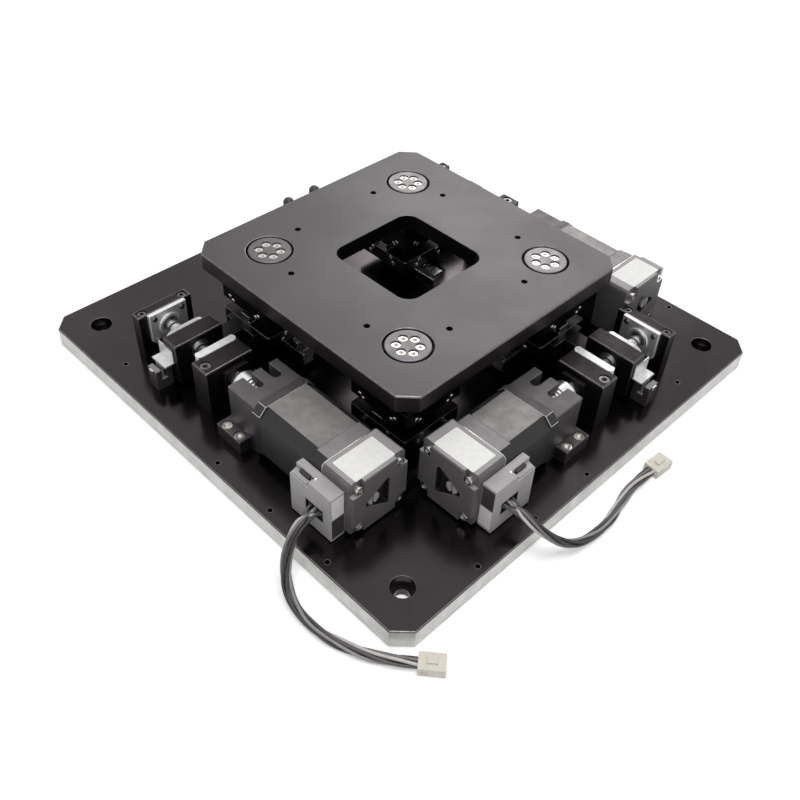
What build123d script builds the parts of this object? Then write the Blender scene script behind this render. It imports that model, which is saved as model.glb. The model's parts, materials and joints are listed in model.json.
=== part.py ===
from build123d import *
import os
from math import cos, pi, radians, sin, sqrt, tan

# Motorised alignment stage that shifts its top plate in X and Y and turns it about Z.
# Three ball-screw drives push three of the four corner modules. Each module is a lower
# guide, a cross guide and a large bearing under the top plate.
# Lengths are in mm. The origin is under the middle of the base plate, +Z is up.
# Heights are counted from the top face of the base plate until a piece is written out.

# Plates
BASE_T = 14.0
BASE_CORNER = 10.0
BASE_MARGIN = 47.5
BASE_BOLT_SPACING = 300.0
BASE_BOLT_R = 4.5
BASE_BOLT_HEAD_R = 7.25
BASE_BOLT_HEAD_DEPTH = 8.8
EDGE_BREAK = 0.6
CUT_OVER = 1.0
TOP_T = 12.0
TOP_CORNER = 10.0
TOP_MARGIN = 36.0
WINDOW_MARGIN = 28.0
WINDOW_R = 10.0
TOP_TAP_R = 2.1
TOP_TAP_NEAR = 35.0
TOP_TAP_FAR = 70.0

# Corner modules
PIVOT = 64.0
MODULE_SIDE = 48.0
MODULE_CORNER = 1.0
CARRIAGE_T = 10.0
HUB_PLATE_T = 12.0
HUB_GAP = 0.5

# Linear guides
RAIL_W = 9.0
RAIL_H = 6.5
RAIL_WAIST = 1.0
RAIL_LEVELS = (0.3, 0.45, 0.65, 0.8)
LOWER_RAIL_L = 72.0
RAIL_END = 11.0
RAIL_SCREWS = 3
GUIDE_H = 10.0
GUIDE_LIFT = 2.0
GUIDE_W = 20.0
GUIDE_BODY_L = 18.9
GUIDE_CAP_L = 5.0
GUIDE_CAP_STEP = 0.5
GUIDE_GAP = 0.3

# Turning bearing, its hub, housing and cap
RING_W = 12.0
RING_OUT_R = 22.0
RING_OUT_BORE_R = 17.0
RING_GAP = 0.2
HUB_R = 12.0
RING_SEAT = 4.0
LIP_T = 5.5
LIP_WALL = 2.5
HUB_SHOULDER = 3.0
CAP_R = 14.25
CAP_GAP = 1.25
CAP_NIP = 0.3
CAP_BREAK = 0.4
CAP_SCREW_RADIUS = 7.15
CAP_SCREWS = 6
CAP_SCREW_ANGLE = -20.0
CAP_HEAD_SINK = 0.8
PRESS_GAP = 0.02

# Screws: shank radius, head radius, head height, socket across flats
M3 = (1.5, 2.75, 3.0, 2.5)
M4 = (2.0, 3.5, 4.0, 3.0)
HOLE_GAP = 0.2
HEAD_GAP = 0.3
TAP_GAP = 0.03
SCREW_BITE = 6.0
SOCKET_DEPTH = 1.6
SHANK_SLACK = 1.0

# Drive lines
DRIVE_REACH = 63.5
MOTOR_LIFT = 1.5
MOTOR_SIDE = 42.0
MOTOR_BOLT = 31.0
FLANGE_L = 7.0
FLANGE_CORNER = 5.0
STATOR_L = {"x1": 44.5, "x2": 44.5, "y": 31.2}
STATOR_CORNER = 6.5
REAR_L = 10.5
PILOT_R = 11.0
PILOT_H = 2.0
SHAFT_R = 2.5
SHAFT_IN = 8.0
SHAFT_GAP = 0.1
SHAFT_END_GAP = 1.0
COVER_L = 25.1
COVER_STEP = 0.25
COVER_R = 3.0
COVER_LUG_DROP = 3.2
COVER_DISH_SIDE = 23.0
COVER_DISH_DEPTH = 4.0
COVER_DISH_R = 1.5
DIAL_R = 4.2
DIAL_H = 3.0
DIAL_OUT = 4.5
DIAL_SLOT = 1.2

# Connector box on the outer side of each motor
BOX_L = 34.5
BOX_BACK = 6.6
BOX_W = 10.25
BOX_LOW = 1.0
BOX_TOP = 14.0
BOX_STEP_L = 16.0
BOX_STEP_W = 5.0
BOX_STEP_H = 3.5
BOX_LEDGE_FALL = 1.7
SOCKET_W = 14.0
SOCKET_H = 9.0
SOCKET_IN = 5.0
SOCKET_Z = 17.0
SOCKET_BACK = 14.0

# Motor bracket
BRACKET_L = 25.5
BRACKET_W = 38.0
BRACKET_TOP = 17.5
BRACKET_BORE_R = 10.9
BRACKET_SLOT_W = 6.2
BRACKET_SLOT_L = 11.0
BRACKET_SLOT_FLOOR = 3.5
BRACKET_SLOTS = (-9.0, 4.5)
BRACKET_FOOT_W = 8.0
BRACKET_FOOT_H = 10.0
BRACKET_FOOT_L = 23.0
BRACKET_FOOT_SHIFT = 5.0
BRACKET_FOOT_SCREWS = (5.2, 17.8)

# Coupling
COUPLING_L = 25.0
COUPLING_R = 9.5
COUPLING_GAP = 4.5
COUPLING_IN = 12.0
COUPLING_GROOVES = 3
COUPLING_GROOVE_W = 1.0
COUPLING_GROOVE_PITCH = 3.0
COUPLING_GROOVE_DEPTH = 4.0

# Ball screw, nut and their supports
SCREW_R = 4.0
SCREW_END_R = 3.0
NUT_SHIFT = 2.75
NUT_BLOCK_L = 13.5
NUT_BLOCK_IN = 18.0
NUT_BLOCK_OUT = 18.5
NUT_BLOCK_LOW = 3.0
NUT_BLOCK_TOP = 11.0
NUT_R = 7.0
NUT_GAP = 0.1
NUT_END_GAP = 1.0
NUT_FLANGE_W = 32.0
NUT_FLANGE_H = 21.6
NUT_FLANGE_T = 3.0
NUT_FLANGE_R = 8.0
TONGUE_FOOT_L = 30.0
TONGUE_FOOT_T = 5.0
STROKE_SPACE = 15.0
END_SPACE = 18.0
BAR_T = 5.7
BAR_W = 30.0
BAR_LOW = 9.0
BLOCK_L = 15.3
BLOCK_TOP = 13.5
BLOCK_IN = 15.0
BLOCK_OUT = 20.5
BLOCK_FOOT_H = 12.0
BLOCK_SCREW = 15.7
BEARING_R = 9.5
BEARING_BORE_R = 6.2
BEARING_GAP = 0.2
BLOCK_BACK_WALL = 2.5
CAP_SIDE = 19.0
CAP_T = 3.5
CAP_CORNER = 2.0
LOCK_NUT_R = 5.6
LOCK_NUT_L = 6.0
LOCK_NUT_GAP = 0.4
LOCK_NUT_BORE_GAP = 0.05
LOCK_NUT_NOTCH = 1.6
END_L = 8.0
END_HALF_W = 20.5
END_TOP = 12.5
END_SCREW = 15.5
END_PLATE_T = 3.0
END_PLATE_W = 28.6
END_PLATE_CUT = 5.0
END_BEARING_R = 7.5
END_BEARING_BORE_R = 5.2
END_BEARING_L = 5.0
END_PLATE_BORE_R = 6.5

# Sensors and their flags
SENSOR_L = 10.0
SENSOR_W = 12.0
SENSOR_H = 16.0
SENSOR_SLOT_W = 4.0
SENSOR_SLOT_H = 8.0
SENSOR_GAP = 1.0
SENSOR_SHIFT = 8.5
FLAG_T = 1.0
FLAG_L = 15.0
FLAG_H = 11.0
FLAG_BLADE_L = 7.0
FLAG_FLOOR_GAP = 1.0
FLAG_LIFT = 1.5
POST_R = 4.25
POST_H = 36.0
POST_ROUND = 3.8
POST_X = 30.5
POST_SITES = (17.0, 43.0)

# Tapped holes for cable clips, as places along and out from each drive line
CLIP_TAP_R = 1.65
CLIP_TAP_DEPTH = 8.0
CLIP_TAPS = ((-103.0, 33.0), (10.0, 41.5), (60.0, 41.5), (110.0, 41.5))

# Motor leads: one bundle from each front motor's connector box, with a plug at its end
CORD_R = 3.25
RUN_SHARE = 0.45
CORD_ROUTES = {
    "x1": ((88.0, -154.25, 31.0), (88.0, -167.0, 31.0), (91.0, -180.0, 23.5), (98.5, -190.0, 12.5),
           (109.5, -195.5, 5.0), (124.0, -198.0, 3.4), (140.0, -196.5, 3.4), (156.0, -191.0, 3.4),
           (171.0, -183.0, 3.4), (184.0, -172.0, 3.4)),
    "y": ((154.25, -74.7, 31.0), (167.0, -74.7, 31.0), (180.0, -71.5, 23.5), (189.5, -62.5, 12.5),
          (194.5, -50.0, 5.0), (197.0, -34.0, 3.4), (196.0, -18.0, 3.4), (192.0, -2.0, 3.4),
          (189.5, 14.5, 3.4), (190.5, 31.0, 3.4)),
}
PLUG_L = 15.0
PLUG_W = 11.0
PLUG_H = 6.8
PLUG_R = 0.8
LATCH_L = 6.0
LATCH_W = 4.0
LATCH_H = 1.4

# Sizes that follow from the ones above
TOP_SIDE = 2 * (PIVOT + TOP_MARGIN)
WINDOW = 2 * (PIVOT - WINDOW_MARGIN)
COVER_SIDE = MOTOR_SIDE + 2 * COVER_STEP
AXIS_T = PIVOT + DRIVE_REACH
AXIS_Z = MOTOR_LIFT + MOTOR_SIDE / 2
BASE_SIDE = 2 * (AXIS_T + BASE_MARGIN)

CARRIAGE_Z = GUIDE_H
CROSS_Z = CARRIAGE_Z + CARRIAGE_T
HUB_Z = CROSS_Z + GUIDE_H
HUB_TOP = HUB_Z + HUB_PLATE_T
LIP_Z = HUB_TOP + HUB_GAP
RING_Z = LIP_Z + LIP_T
RING_TOP = RING_Z + RING_W
TOP_Z = RING_TOP - RING_SEAT
STAGE_TOP = TOP_Z + TOP_T

NUT_S = -(PIVOT + NUT_SHIFT)
NUT_LOW_S = NUT_S - NUT_BLOCK_L / 2
NUT_HIGH_S = NUT_S + NUT_BLOCK_L / 2
BAR_S = NUT_HIGH_S + STROKE_SPACE
BLOCK_S = BAR_S + BAR_T
CAP_S = BLOCK_S + BLOCK_L
LOCK_NUT_S = CAP_S + BEARING_GAP
COUPLING_S = CAP_S + CAP_T + COUPLING_GAP
BRACKET_S = COUPLING_S + COUPLING_IN
MOTOR_S = BRACKET_S + BRACKET_L
END_PLATE_S = NUT_LOW_S - NUT_FLANGE_T - END_SPACE
END_FACE_S = END_PLATE_S - END_PLATE_T
SENSOR_S = NUT_S - SENSOR_SHIFT / 2
SENSOR_T = NUT_BLOCK_OUT + SENSOR_GAP

CORNERS = {"a": (-1, -1, 0), "b": (1, -1, 0), "c": (1, 1, 90), "d": (-1, 1, 0)}
DRIVES = ("x1", "x2", "y")
CORDED = ("x1", "y")


# General shapes

def span_box(x, y, z):
    """Box between the low and high ends of three (low, high) pairs."""
    middle = Pos((x[0] + x[1]) / 2, (y[0] + y[1]) / 2, (z[0] + z[1]) / 2)
    return middle * Box(x[1] - x[0], y[1] - y[0], z[1] - z[0])


def rod_z(radius, low, high, x=0.0, y=0.0):
    """Upright round bar or hole."""
    return Pos(x, y, (low + high) / 2) * Cylinder(radius, high - low)


def rod_x(radius, low, high, y=0.0, z=0.0):
    """Round bar or hole that lies along X."""
    return Pos((low + high) / 2, y, z) * Rot(0, 90, 0) * Cylinder(radius, high - low)


def tube_z(outer, inner, low, high):
    """Upright ring."""
    return rod_z(outer, low, high) - rod_z(inner, low, high)


def tube_x(outer, inner, low, high):
    """Ring that lies along X."""
    return rod_x(outer, low, high) - rod_x(inner, low, high)


def cut_corner_plate(width, depth, corner, low, high):
    """Flat plate with its four upright corners cut off."""
    outline = chamfer(Rectangle(width, depth).vertices(), corner)
    return extrude(Pos(0, 0, low) * outline, high - low)


def prism_x(outline, low, high):
    """Bar along X whose cross-section is drawn with Y and Z as its two axes."""
    return extrude(Plane.YZ.offset(low) * outline, high - low)


def cap_screw(size, grip):
    """Socket head screw, its head standing on Z = 0 and its shank pointing down."""
    shank, head, height, flats = size
    body = rod_z(head, 0, height) + rod_z(shank, -grip - SCREW_BITE, 0)
    socket = extrude(Pos(0, 0, height - SOCKET_DEPTH) * RegularPolygon(flats / sqrt(3), 6), SOCKET_DEPTH)
    return body - socket


def head_pocket(size, depth):
    """Counterbore with its floor on Z = 0."""
    return rod_z(size[1] + HEAD_GAP, 0, depth)


def through_hole(size, depth):
    """Clearance hole that ends at Z = 0 and reaches down."""
    return rod_z(size[0] + HOLE_GAP, -depth, 0)


def tapped_hole(size, depth):
    """Hole that a screw bites in, from Z = 0 down."""
    return rod_z(size[0] + TAP_GAP, -depth, 0)


def split(shape):
    """Every solid of a shape as a list."""
    return list(shape.solids())


# Screw places, given once for the holes and for the screws

def rail_screw_places(length):
    """Places of a rail's screws along its own length."""
    pitch = (length - 2 * RAIL_END) / (RAIL_SCREWS - 1)
    return [-length / 2 + RAIL_END + pitch * index for index in range(RAIL_SCREWS)]


def foot_screw_sites():
    """Drive-frame places of the screws that hold one drive's blocks to the base plate."""
    sites = []
    foot_t = BRACKET_W / 2 + BRACKET_FOOT_W / 2
    foot_s = BRACKET_S - BRACKET_FOOT_SHIFT
    for along in BRACKET_FOOT_SCREWS:
        for side in (-1, 1):
            sites.append((foot_s + along, side * foot_t, BRACKET_FOOT_H - M4[2] - EDGE_BREAK, M4))
    block_s = BLOCK_S + BLOCK_L / 2
    inner = -(BLOCK_IN + BLOCK_OUT) / 2
    sites.append((block_s, inner, BLOCK_FOOT_H - M3[2] - EDGE_BREAK, M3))
    sites.append((block_s, BLOCK_SCREW, AXIS_Z + BLOCK_TOP - M4[2] - EDGE_BREAK, M4))
    for side in (-1, 1):
        seat = AXIS_Z + END_TOP - M3[2] - EDGE_BREAK
        sites.append((END_FACE_S - END_L / 2, side * END_SCREW, seat, M3))
    return sites


def at_axis(shape):
    """Move a piece drawn round the screw axis to its place in the drive frame."""
    return Pos(0, AXIS_T, AXIS_Z) * shape


def at_line(shape):
    """Move a piece drawn on the drive line but at base height to its place."""
    return Pos(0, AXIS_T, 0) * shape


def place(drive, shape):
    """Turn or mirror a piece from the drive frame to one of the three drives."""
    if drive == "x1":
        return mirror(shape, about=Plane.XZ)
    if drive == "y":
        return Rot(0, 0, -90) * shape
    return shape


def corner_place(corner, shape):
    """Move a piece drawn at a module's own centre to its corner, turned with its guide."""
    sign_x, sign_y, turn = CORNERS[corner]
    return Pos(sign_x * PIVOT, sign_y * PIVOT, 0) * Rot(0, 0, turn) * shape


# Plates

def base_plate():
    """Square base plate with all its holes."""
    plate = cut_corner_plate(BASE_SIDE, BASE_SIDE, BASE_CORNER, -BASE_T, 0)
    plate = chamfer(plate.faces().sort_by(Axis.Z)[-1].edges(), EDGE_BREAK)
    bolt = rod_z(BASE_BOLT_R, -BASE_T, 0) + rod_z(BASE_BOLT_HEAD_R, -BASE_BOLT_HEAD_DEPTH, 0)
    half = BASE_BOLT_SPACING / 2
    cuts = [Pos(x, y, 0) * bolt for x in (-half, half) for y in (-half, half)]
    for corner in CORNERS:
        for along in rail_screw_places(LOWER_RAIL_L):
            cuts.append(corner_place(corner, Pos(along, 0, 0) * tapped_hole(M3, SCREW_BITE)))
    for drive in DRIVES:
        for along, across, _, size in foot_screw_sites():
            hole = Pos(along, AXIS_T + across, 0) * tapped_hole(size, SCREW_BITE)
            cuts.append(place(drive, hole))
        for along, across in CLIP_TAPS:
            hole = Pos(along, AXIS_T + across, 0) * rod_z(CLIP_TAP_R, -CLIP_TAP_DEPTH, 0)
            cuts.append(place(drive, hole))
    return plate - cuts


def top_plate():
    """Square top plate with its window, bearing seats and tapped holes."""
    plate = cut_corner_plate(TOP_SIDE, TOP_SIDE, TOP_CORNER, TOP_Z, STAGE_TOP)
    plate -= extrude(Pos(0, 0, TOP_Z) * RectangleRounded(WINDOW, WINDOW, WINDOW_R), TOP_T)
    cap_bore = CAP_R + CAP_GAP
    for sign_x, sign_y, _ in CORNERS.values():
        spot = Pos(sign_x * PIVOT, sign_y * PIVOT, 0)
        plate -= spot * rod_z(RING_OUT_R + PRESS_GAP, TOP_Z, RING_TOP)
        plate -= spot * rod_z(cap_bore, RING_TOP, STAGE_TOP)
        plate -= spot * Pos(0, 0, STAGE_TOP - CAP_BREAK / 2) * Cone(cap_bore, cap_bore + CAP_BREAK, CAP_BREAK)
    for near, far in ((TOP_TAP_NEAR, TOP_TAP_FAR), (TOP_TAP_FAR, TOP_TAP_NEAR)):
        for x in (-near, near):
            for y in (-far, far):
                plate -= rod_z(TOP_TAP_R, TOP_Z, STAGE_TOP, x, y)
    rim = plate.edges().group_by(Axis.Z)[-1].filter_by(lambda edge: edge.length > TOP_CORNER)
    reach = TOP_SIDE / 2 - TOP_CORNER
    outer = [edge for edge in rim if max(abs(edge.center().X), abs(edge.center().Y)) > reach]
    return chamfer(outer, EDGE_BREAK)


# Linear guides

def rail(length):
    """Guide rail along X with a waist on each side and counterbored screw holes."""
    half = RAIL_W / 2
    waist = half - RAIL_WAIST
    levels = [0] + [RAIL_H * share for share in RAIL_LEVELS] + [RAIL_H]
    widths = (half, half, waist, waist, half, half)
    right = list(zip(widths, levels))
    left = [(-width, level) for width, level in reversed(right)]
    bar = prism_x(make_face(Polyline(*right, *left, close=True)), -length / 2, length / 2)
    seat = RAIL_H - M3[2] - HEAD_GAP
    for along in rail_screw_places(length):
        bar -= Pos(along, 0, seat) * (head_pocket(M3, RAIL_H) + through_hole(M3, RAIL_H))
    return bar


def guide_block():
    """Runner that straddles a rail along X: a steel body and two end caps."""
    half = GUIDE_BODY_L / 2
    channel = Pos(0, RAIL_H / 2 + GUIDE_GAP / 2) * Rectangle(RAIL_W + 2 * GUIDE_GAP, RAIL_H + GUIDE_GAP)
    body_h = GUIDE_H - GUIDE_LIFT
    outline = chamfer(Rectangle(GUIDE_W, body_h).vertices(), EDGE_BREAK)
    body_face = Pos(0, GUIDE_LIFT + body_h / 2) * outline - channel
    cap_w = GUIDE_W - 2 * GUIDE_CAP_STEP
    cap_h = body_h - 2 * GUIDE_CAP_STEP
    cap_outline = chamfer(Rectangle(cap_w, cap_h).vertices(), EDGE_BREAK)
    cap_face = Pos(0, GUIDE_LIFT + body_h / 2) * cap_outline - channel
    body = prism_x(body_face, -half, half)
    low_cap = prism_x(cap_face, -half - GUIDE_CAP_L, -half)
    high_cap = prism_x(cap_face, half, half + GUIDE_CAP_L)
    return [body, low_cap, high_cap]


# Corner modules

def carriage_plate():
    """Plate between the lower guide and the cross guide."""
    top = CARRIAGE_Z + CARRIAGE_T
    return cut_corner_plate(MODULE_SIDE, MODULE_SIDE, MODULE_CORNER, CARRIAGE_Z, top)


def lower_guide():
    """Lower runner, and the cross rail that lies on the carriage plate."""
    cross_rail = Pos(0, 0, CROSS_Z) * Rot(0, 0, 90) * rail(MODULE_SIDE)
    return guide_block() + [cross_rail]


def hub():
    """Cross runner, hub plate with its boss, and the bearing's inner ring."""
    runner = [Pos(0, 0, CROSS_Z) * Rot(0, 0, 90) * piece for piece in guide_block()]
    plate = cut_corner_plate(MODULE_SIDE, MODULE_SIDE, MODULE_CORNER, HUB_Z, HUB_TOP)
    boss = rod_z(HUB_R + HUB_SHOULDER, HUB_TOP, RING_Z) + rod_z(HUB_R, RING_Z, RING_TOP - CAP_NIP)
    for x, y in cap_screw_sites():
        boss -= Pos(x, y, RING_TOP - CAP_NIP) * tapped_hole(M3, SCREW_BITE)
    inner_ring = tube_z(RING_OUT_BORE_R - RING_GAP, HUB_R + PRESS_GAP, RING_Z, RING_TOP)
    return runner + [plate, boss, inner_ring]


def cap_screw_sites():
    """Places of the six screws round a bearing cap's centre."""
    sites = []
    for index in range(CAP_SCREWS):
        angle = radians(CAP_SCREW_ANGLE + index * 360 / CAP_SCREWS)
        sites.append((CAP_SCREW_RADIUS * cos(angle), CAP_SCREW_RADIUS * sin(angle)))
    return sites


def bearing_cap():
    """Round cap that clamps the inner ring, with its screws."""
    cap = rod_z(CAP_R, RING_TOP, STAGE_TOP)
    cap = chamfer(cap.edges().sort_by(Axis.Z)[-1], CAP_BREAK)
    seat = STAGE_TOP - M3[2] - CAP_HEAD_SINK
    screws = []
    for x, y in cap_screw_sites():
        spot = Pos(x, y, seat)
        cap -= spot * (head_pocket(M3, TOP_T) + through_hole(M3, TOP_T))
        screws.append(spot * cap_screw(M3, seat - RING_TOP - SHANK_SLACK))
    return [cap] + screws


def bearing_housing():
    """Square housing under the top plate and the outer ring that it holds."""
    housing = cut_corner_plate(MODULE_SIDE, MODULE_SIDE, MODULE_CORNER, LIP_Z, TOP_Z)
    housing -= rod_z(RING_OUT_R - LIP_WALL, LIP_Z, RING_Z)
    housing -= rod_z(RING_OUT_R + PRESS_GAP, RING_Z, TOP_Z)
    outer_ring = tube_z(RING_OUT_R, RING_OUT_BORE_R, RING_Z, RING_TOP)
    return [housing, outer_ring]


# Drive pieces, drawn with X along the screw towards the motor and Y outwards

def motor_body(drive):
    """Front flange, stator and rear flange of a motor."""
    stator_s = MOTOR_S + FLANGE_L
    rear_s = stator_s + STATOR_L[drive]
    flange_face = chamfer(Rectangle(MOTOR_SIDE, MOTOR_SIDE).vertices(), FLANGE_CORNER)
    stator_face = chamfer(Rectangle(MOTOR_SIDE, MOTOR_SIDE).vertices(), STATOR_CORNER)
    front = prism_x(flange_face, MOTOR_S, stator_s) + rod_x(PILOT_R, MOTOR_S - PILOT_H, MOTOR_S)
    front -= rod_x(SHAFT_R + SHAFT_GAP, MOTOR_S - PILOT_H, stator_s)
    stator = prism_x(stator_face, stator_s, rear_s)
    stator -= rod_x(SHAFT_R + SHAFT_GAP, stator_s, stator_s + SHAFT_IN)
    rear = prism_x(flange_face, rear_s, rear_s + REAR_L)
    return [at_axis(piece) for piece in (front, stator, rear)]


def cover_start(drive):
    """Place along the drive where the encoder cover starts."""
    return MOTOR_S + FLANGE_L + STATOR_L[drive] + REAR_L


def encoder_cover(drive):
    """Encoder housing with cut corners for its screws and a dished rear face."""
    low = cover_start(drive)
    high = low + COVER_L
    solid = prism_x(RectangleRounded(COVER_SIDE, COVER_SIDE, COVER_R), low, high)
    solid = chamfer(solid.faces().sort_by(Axis.X)[-1].edges(), EDGE_BREAK)
    pocket_r = M3[1] + HEAD_GAP
    pocket_side = COVER_SIDE - MOTOR_BOLT
    pocket = RectangleRounded(pocket_side, pocket_side, pocket_r)
    middle = MOTOR_BOLT / 2 - pocket_r + pocket_side / 2
    for y in (-middle, middle):
        for z in (-middle, middle):
            solid -= prism_x(Pos(y, z) * pocket, high - COVER_LUG_DROP, high + CUT_OVER)
    lift = COVER_DISH_SIDE / (2 * sqrt(3))
    tip = COVER_DISH_SIDE / sqrt(3)
    half = COVER_DISH_SIDE / 2
    triangle = make_face(Polyline((-lift, half), (-lift, -half), (tip, 0), close=True))
    dish = fillet(triangle.vertices(), COVER_DISH_R)
    solid -= prism_x(dish, high - COVER_DISH_DEPTH, high)
    dial = rod_x(DIAL_R, high - COVER_DISH_DEPTH, high - COVER_DISH_DEPTH + DIAL_H, DIAL_OUT, 0)
    slot_low = high - COVER_DISH_DEPTH + DIAL_H / 2
    dial -= Pos(slot_low + DIAL_H / 2, DIAL_OUT, 0) * Box(DIAL_H, DIAL_SLOT, 2 * DIAL_R)
    solid += dial
    return at_axis(solid)


def cover_screw_sites(drive):
    """Drive-frame places of the cover's four screws."""
    seat = cover_start(drive) + COVER_L - COVER_LUG_DROP
    half = MOTOR_BOLT / 2
    return [(seat, y, z) for y in (-half, half) for z in (-half, half)]


def box_span(drive):
    """Low and high ends of the connector box along the drive."""
    high = cover_start(drive) + COVER_L - BOX_BACK
    return high - BOX_L, high


def connector_box(drive):
    """Connector housing with a stepped front corner for its latch, and the lead socket."""
    low, high = box_span(drive)
    inner = AXIS_T + COVER_SIDE / 2
    outer = inner + BOX_W
    top = AXIS_Z + BOX_TOP
    step_t = outer - BOX_STEP_W
    ledge = top - BOX_STEP_H
    solid = span_box((low, high), (inner, outer), (BOX_LOW, top))
    corners = ((step_t, ledge), (outer + CUT_OVER, ledge - BOX_LEDGE_FALL),
               (outer + CUT_OVER, top + CUT_OVER), (step_t, top + CUT_OVER))
    solid -= prism_x(make_face(Polyline(*corners, close=True)), low, low + BOX_STEP_L)
    socket_s = high - SOCKET_BACK
    along = (socket_s - SOCKET_W / 2, socket_s + SOCKET_W / 2)
    across = (outer - SOCKET_IN, outer + CUT_OVER)
    solid -= span_box(along, across, (SOCKET_Z - SOCKET_H / 2, SOCKET_Z + SOCKET_H / 2))
    return solid


def motor_bracket():
    """Motor bracket with its coupling chamber, two top slots and two feet."""
    half = BRACKET_W / 2
    body = span_box((BRACKET_S, MOTOR_S), (-half, half), (-AXIS_Z, BRACKET_TOP))
    body = chamfer(body.edges().filter_by(Axis.X).group_by(Axis.Z)[-1], EDGE_BREAK)
    foot_s = BRACKET_S - BRACKET_FOOT_SHIFT
    reach = half + BRACKET_FOOT_W
    body += span_box((foot_s, foot_s + BRACKET_FOOT_L), (-reach, reach), (-AXIS_Z, BRACKET_FOOT_H - AXIS_Z))
    body -= rod_x(BRACKET_BORE_R, BRACKET_S - BRACKET_FOOT_SHIFT, MOTOR_S)
    body -= rod_x(PILOT_R + PRESS_GAP, MOTOR_S - PILOT_H, MOTOR_S)
    slot_end = BRACKET_S + BRACKET_SLOT_L
    for across in BRACKET_SLOTS:
        slot = Rectangle(BRACKET_SLOT_L * 2, BRACKET_SLOT_W)
        slot = Pos(slot_end - BRACKET_SLOT_L, 0) * slot + Pos(slot_end, 0) * Circle(BRACKET_SLOT_W / 2)
        body -= extrude(Pos(0, across, BRACKET_SLOT_FLOOR) * slot, BRACKET_TOP)
    bolt = MOTOR_BOLT / 2
    for y in (-bolt, bolt):
        for z in (-bolt, bolt):
            body -= rod_x(M3[0] + HOLE_GAP, BRACKET_S - BRACKET_FOOT_SHIFT, MOTOR_S, y, z)
    return at_axis(body)


def coupling():
    """Flexible coupling with ring grooves, and the motor shaft in it."""
    low = COUPLING_S
    high = COUPLING_S + COUPLING_L
    middle = (low + high) / 2
    shaft_low = middle + COUPLING_GROOVE_PITCH
    body = rod_x(COUPLING_R, low, high)
    body = chamfer(body.edges(), EDGE_BREAK)
    body -= rod_x(SCREW_END_R + PRESS_GAP, low, middle)
    body -= rod_x(SHAFT_R + PRESS_GAP, shaft_low, high)
    for index in range(COUPLING_GROOVES):
        shift = (index - (COUPLING_GROOVES - 1) / 2) * COUPLING_GROOVE_PITCH
        ring = tube_x(COUPLING_R + CUT_OVER, COUPLING_R - COUPLING_GROOVE_DEPTH,
                      middle + shift - COUPLING_GROOVE_W / 2, middle + shift + COUPLING_GROOVE_W / 2)
        body -= ring
    shaft = rod_x(SHAFT_R, shaft_low, MOTOR_S + FLANGE_L + SHAFT_IN - SHAFT_END_GAP)
    return [at_axis(body), at_axis(shaft)]


def ball_screw():
    """Screw shaft with its stepped ends, and the two inner bearing rings."""
    far_end = END_FACE_S - END_BEARING_L
    shaft = rod_x(SCREW_END_R, far_end, END_FACE_S)
    shaft += rod_x(SCREW_R, END_FACE_S, LOCK_NUT_S + LOCK_NUT_L)
    shaft += rod_x(SCREW_END_R, LOCK_NUT_S + LOCK_NUT_L, COUPLING_S + COUPLING_L / 2)
    fixed_ring = tube_x(BEARING_BORE_R - BEARING_GAP, SCREW_R + PRESS_GAP, BLOCK_S, CAP_S)
    end_ring = tube_x(END_BEARING_BORE_R - BEARING_GAP, SCREW_END_R + PRESS_GAP, far_end, END_FACE_S)
    return [at_axis(piece) for piece in (shaft, fixed_ring, end_ring)]


def lock_nut():
    """Slotted round nut that clamps the fixed bearing."""
    high = LOCK_NUT_S + LOCK_NUT_L
    body = tube_x(LOCK_NUT_R, SCREW_R + LOCK_NUT_BORE_GAP, LOCK_NUT_S, high)
    for turn in range(0, 360, 90):
        notch = Pos(high, 0, LOCK_NUT_R) * Box(LOCK_NUT_L, LOCK_NUT_NOTCH, LOCK_NUT_NOTCH)
        body -= Rot(turn, 0, 0) * notch
    return at_axis(body)


def bearing_block():
    """Fixed bearing block with its low inner foot, and the outer bearing ring."""
    body = span_box((BLOCK_S, CAP_S), (-BLOCK_IN, BLOCK_OUT), (-AXIS_Z, BLOCK_TOP))
    body = chamfer(body.edges().group_by(Axis.Z)[-1], EDGE_BREAK)
    body += span_box((BLOCK_S, CAP_S), (-BLOCK_OUT, 0), (-AXIS_Z, BLOCK_FOOT_H - AXIS_Z))
    ring_high = CAP_S - BLOCK_BACK_WALL
    body -= rod_x(BEARING_R + PRESS_GAP, BLOCK_S, ring_high)
    body -= rod_x(BEARING_BORE_R + BLOCK_BACK_WALL / 2, ring_high, CAP_S)
    ring = tube_x(BEARING_R, BEARING_BORE_R, BLOCK_S, ring_high)
    return [at_axis(body), at_axis(ring)]


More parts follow.
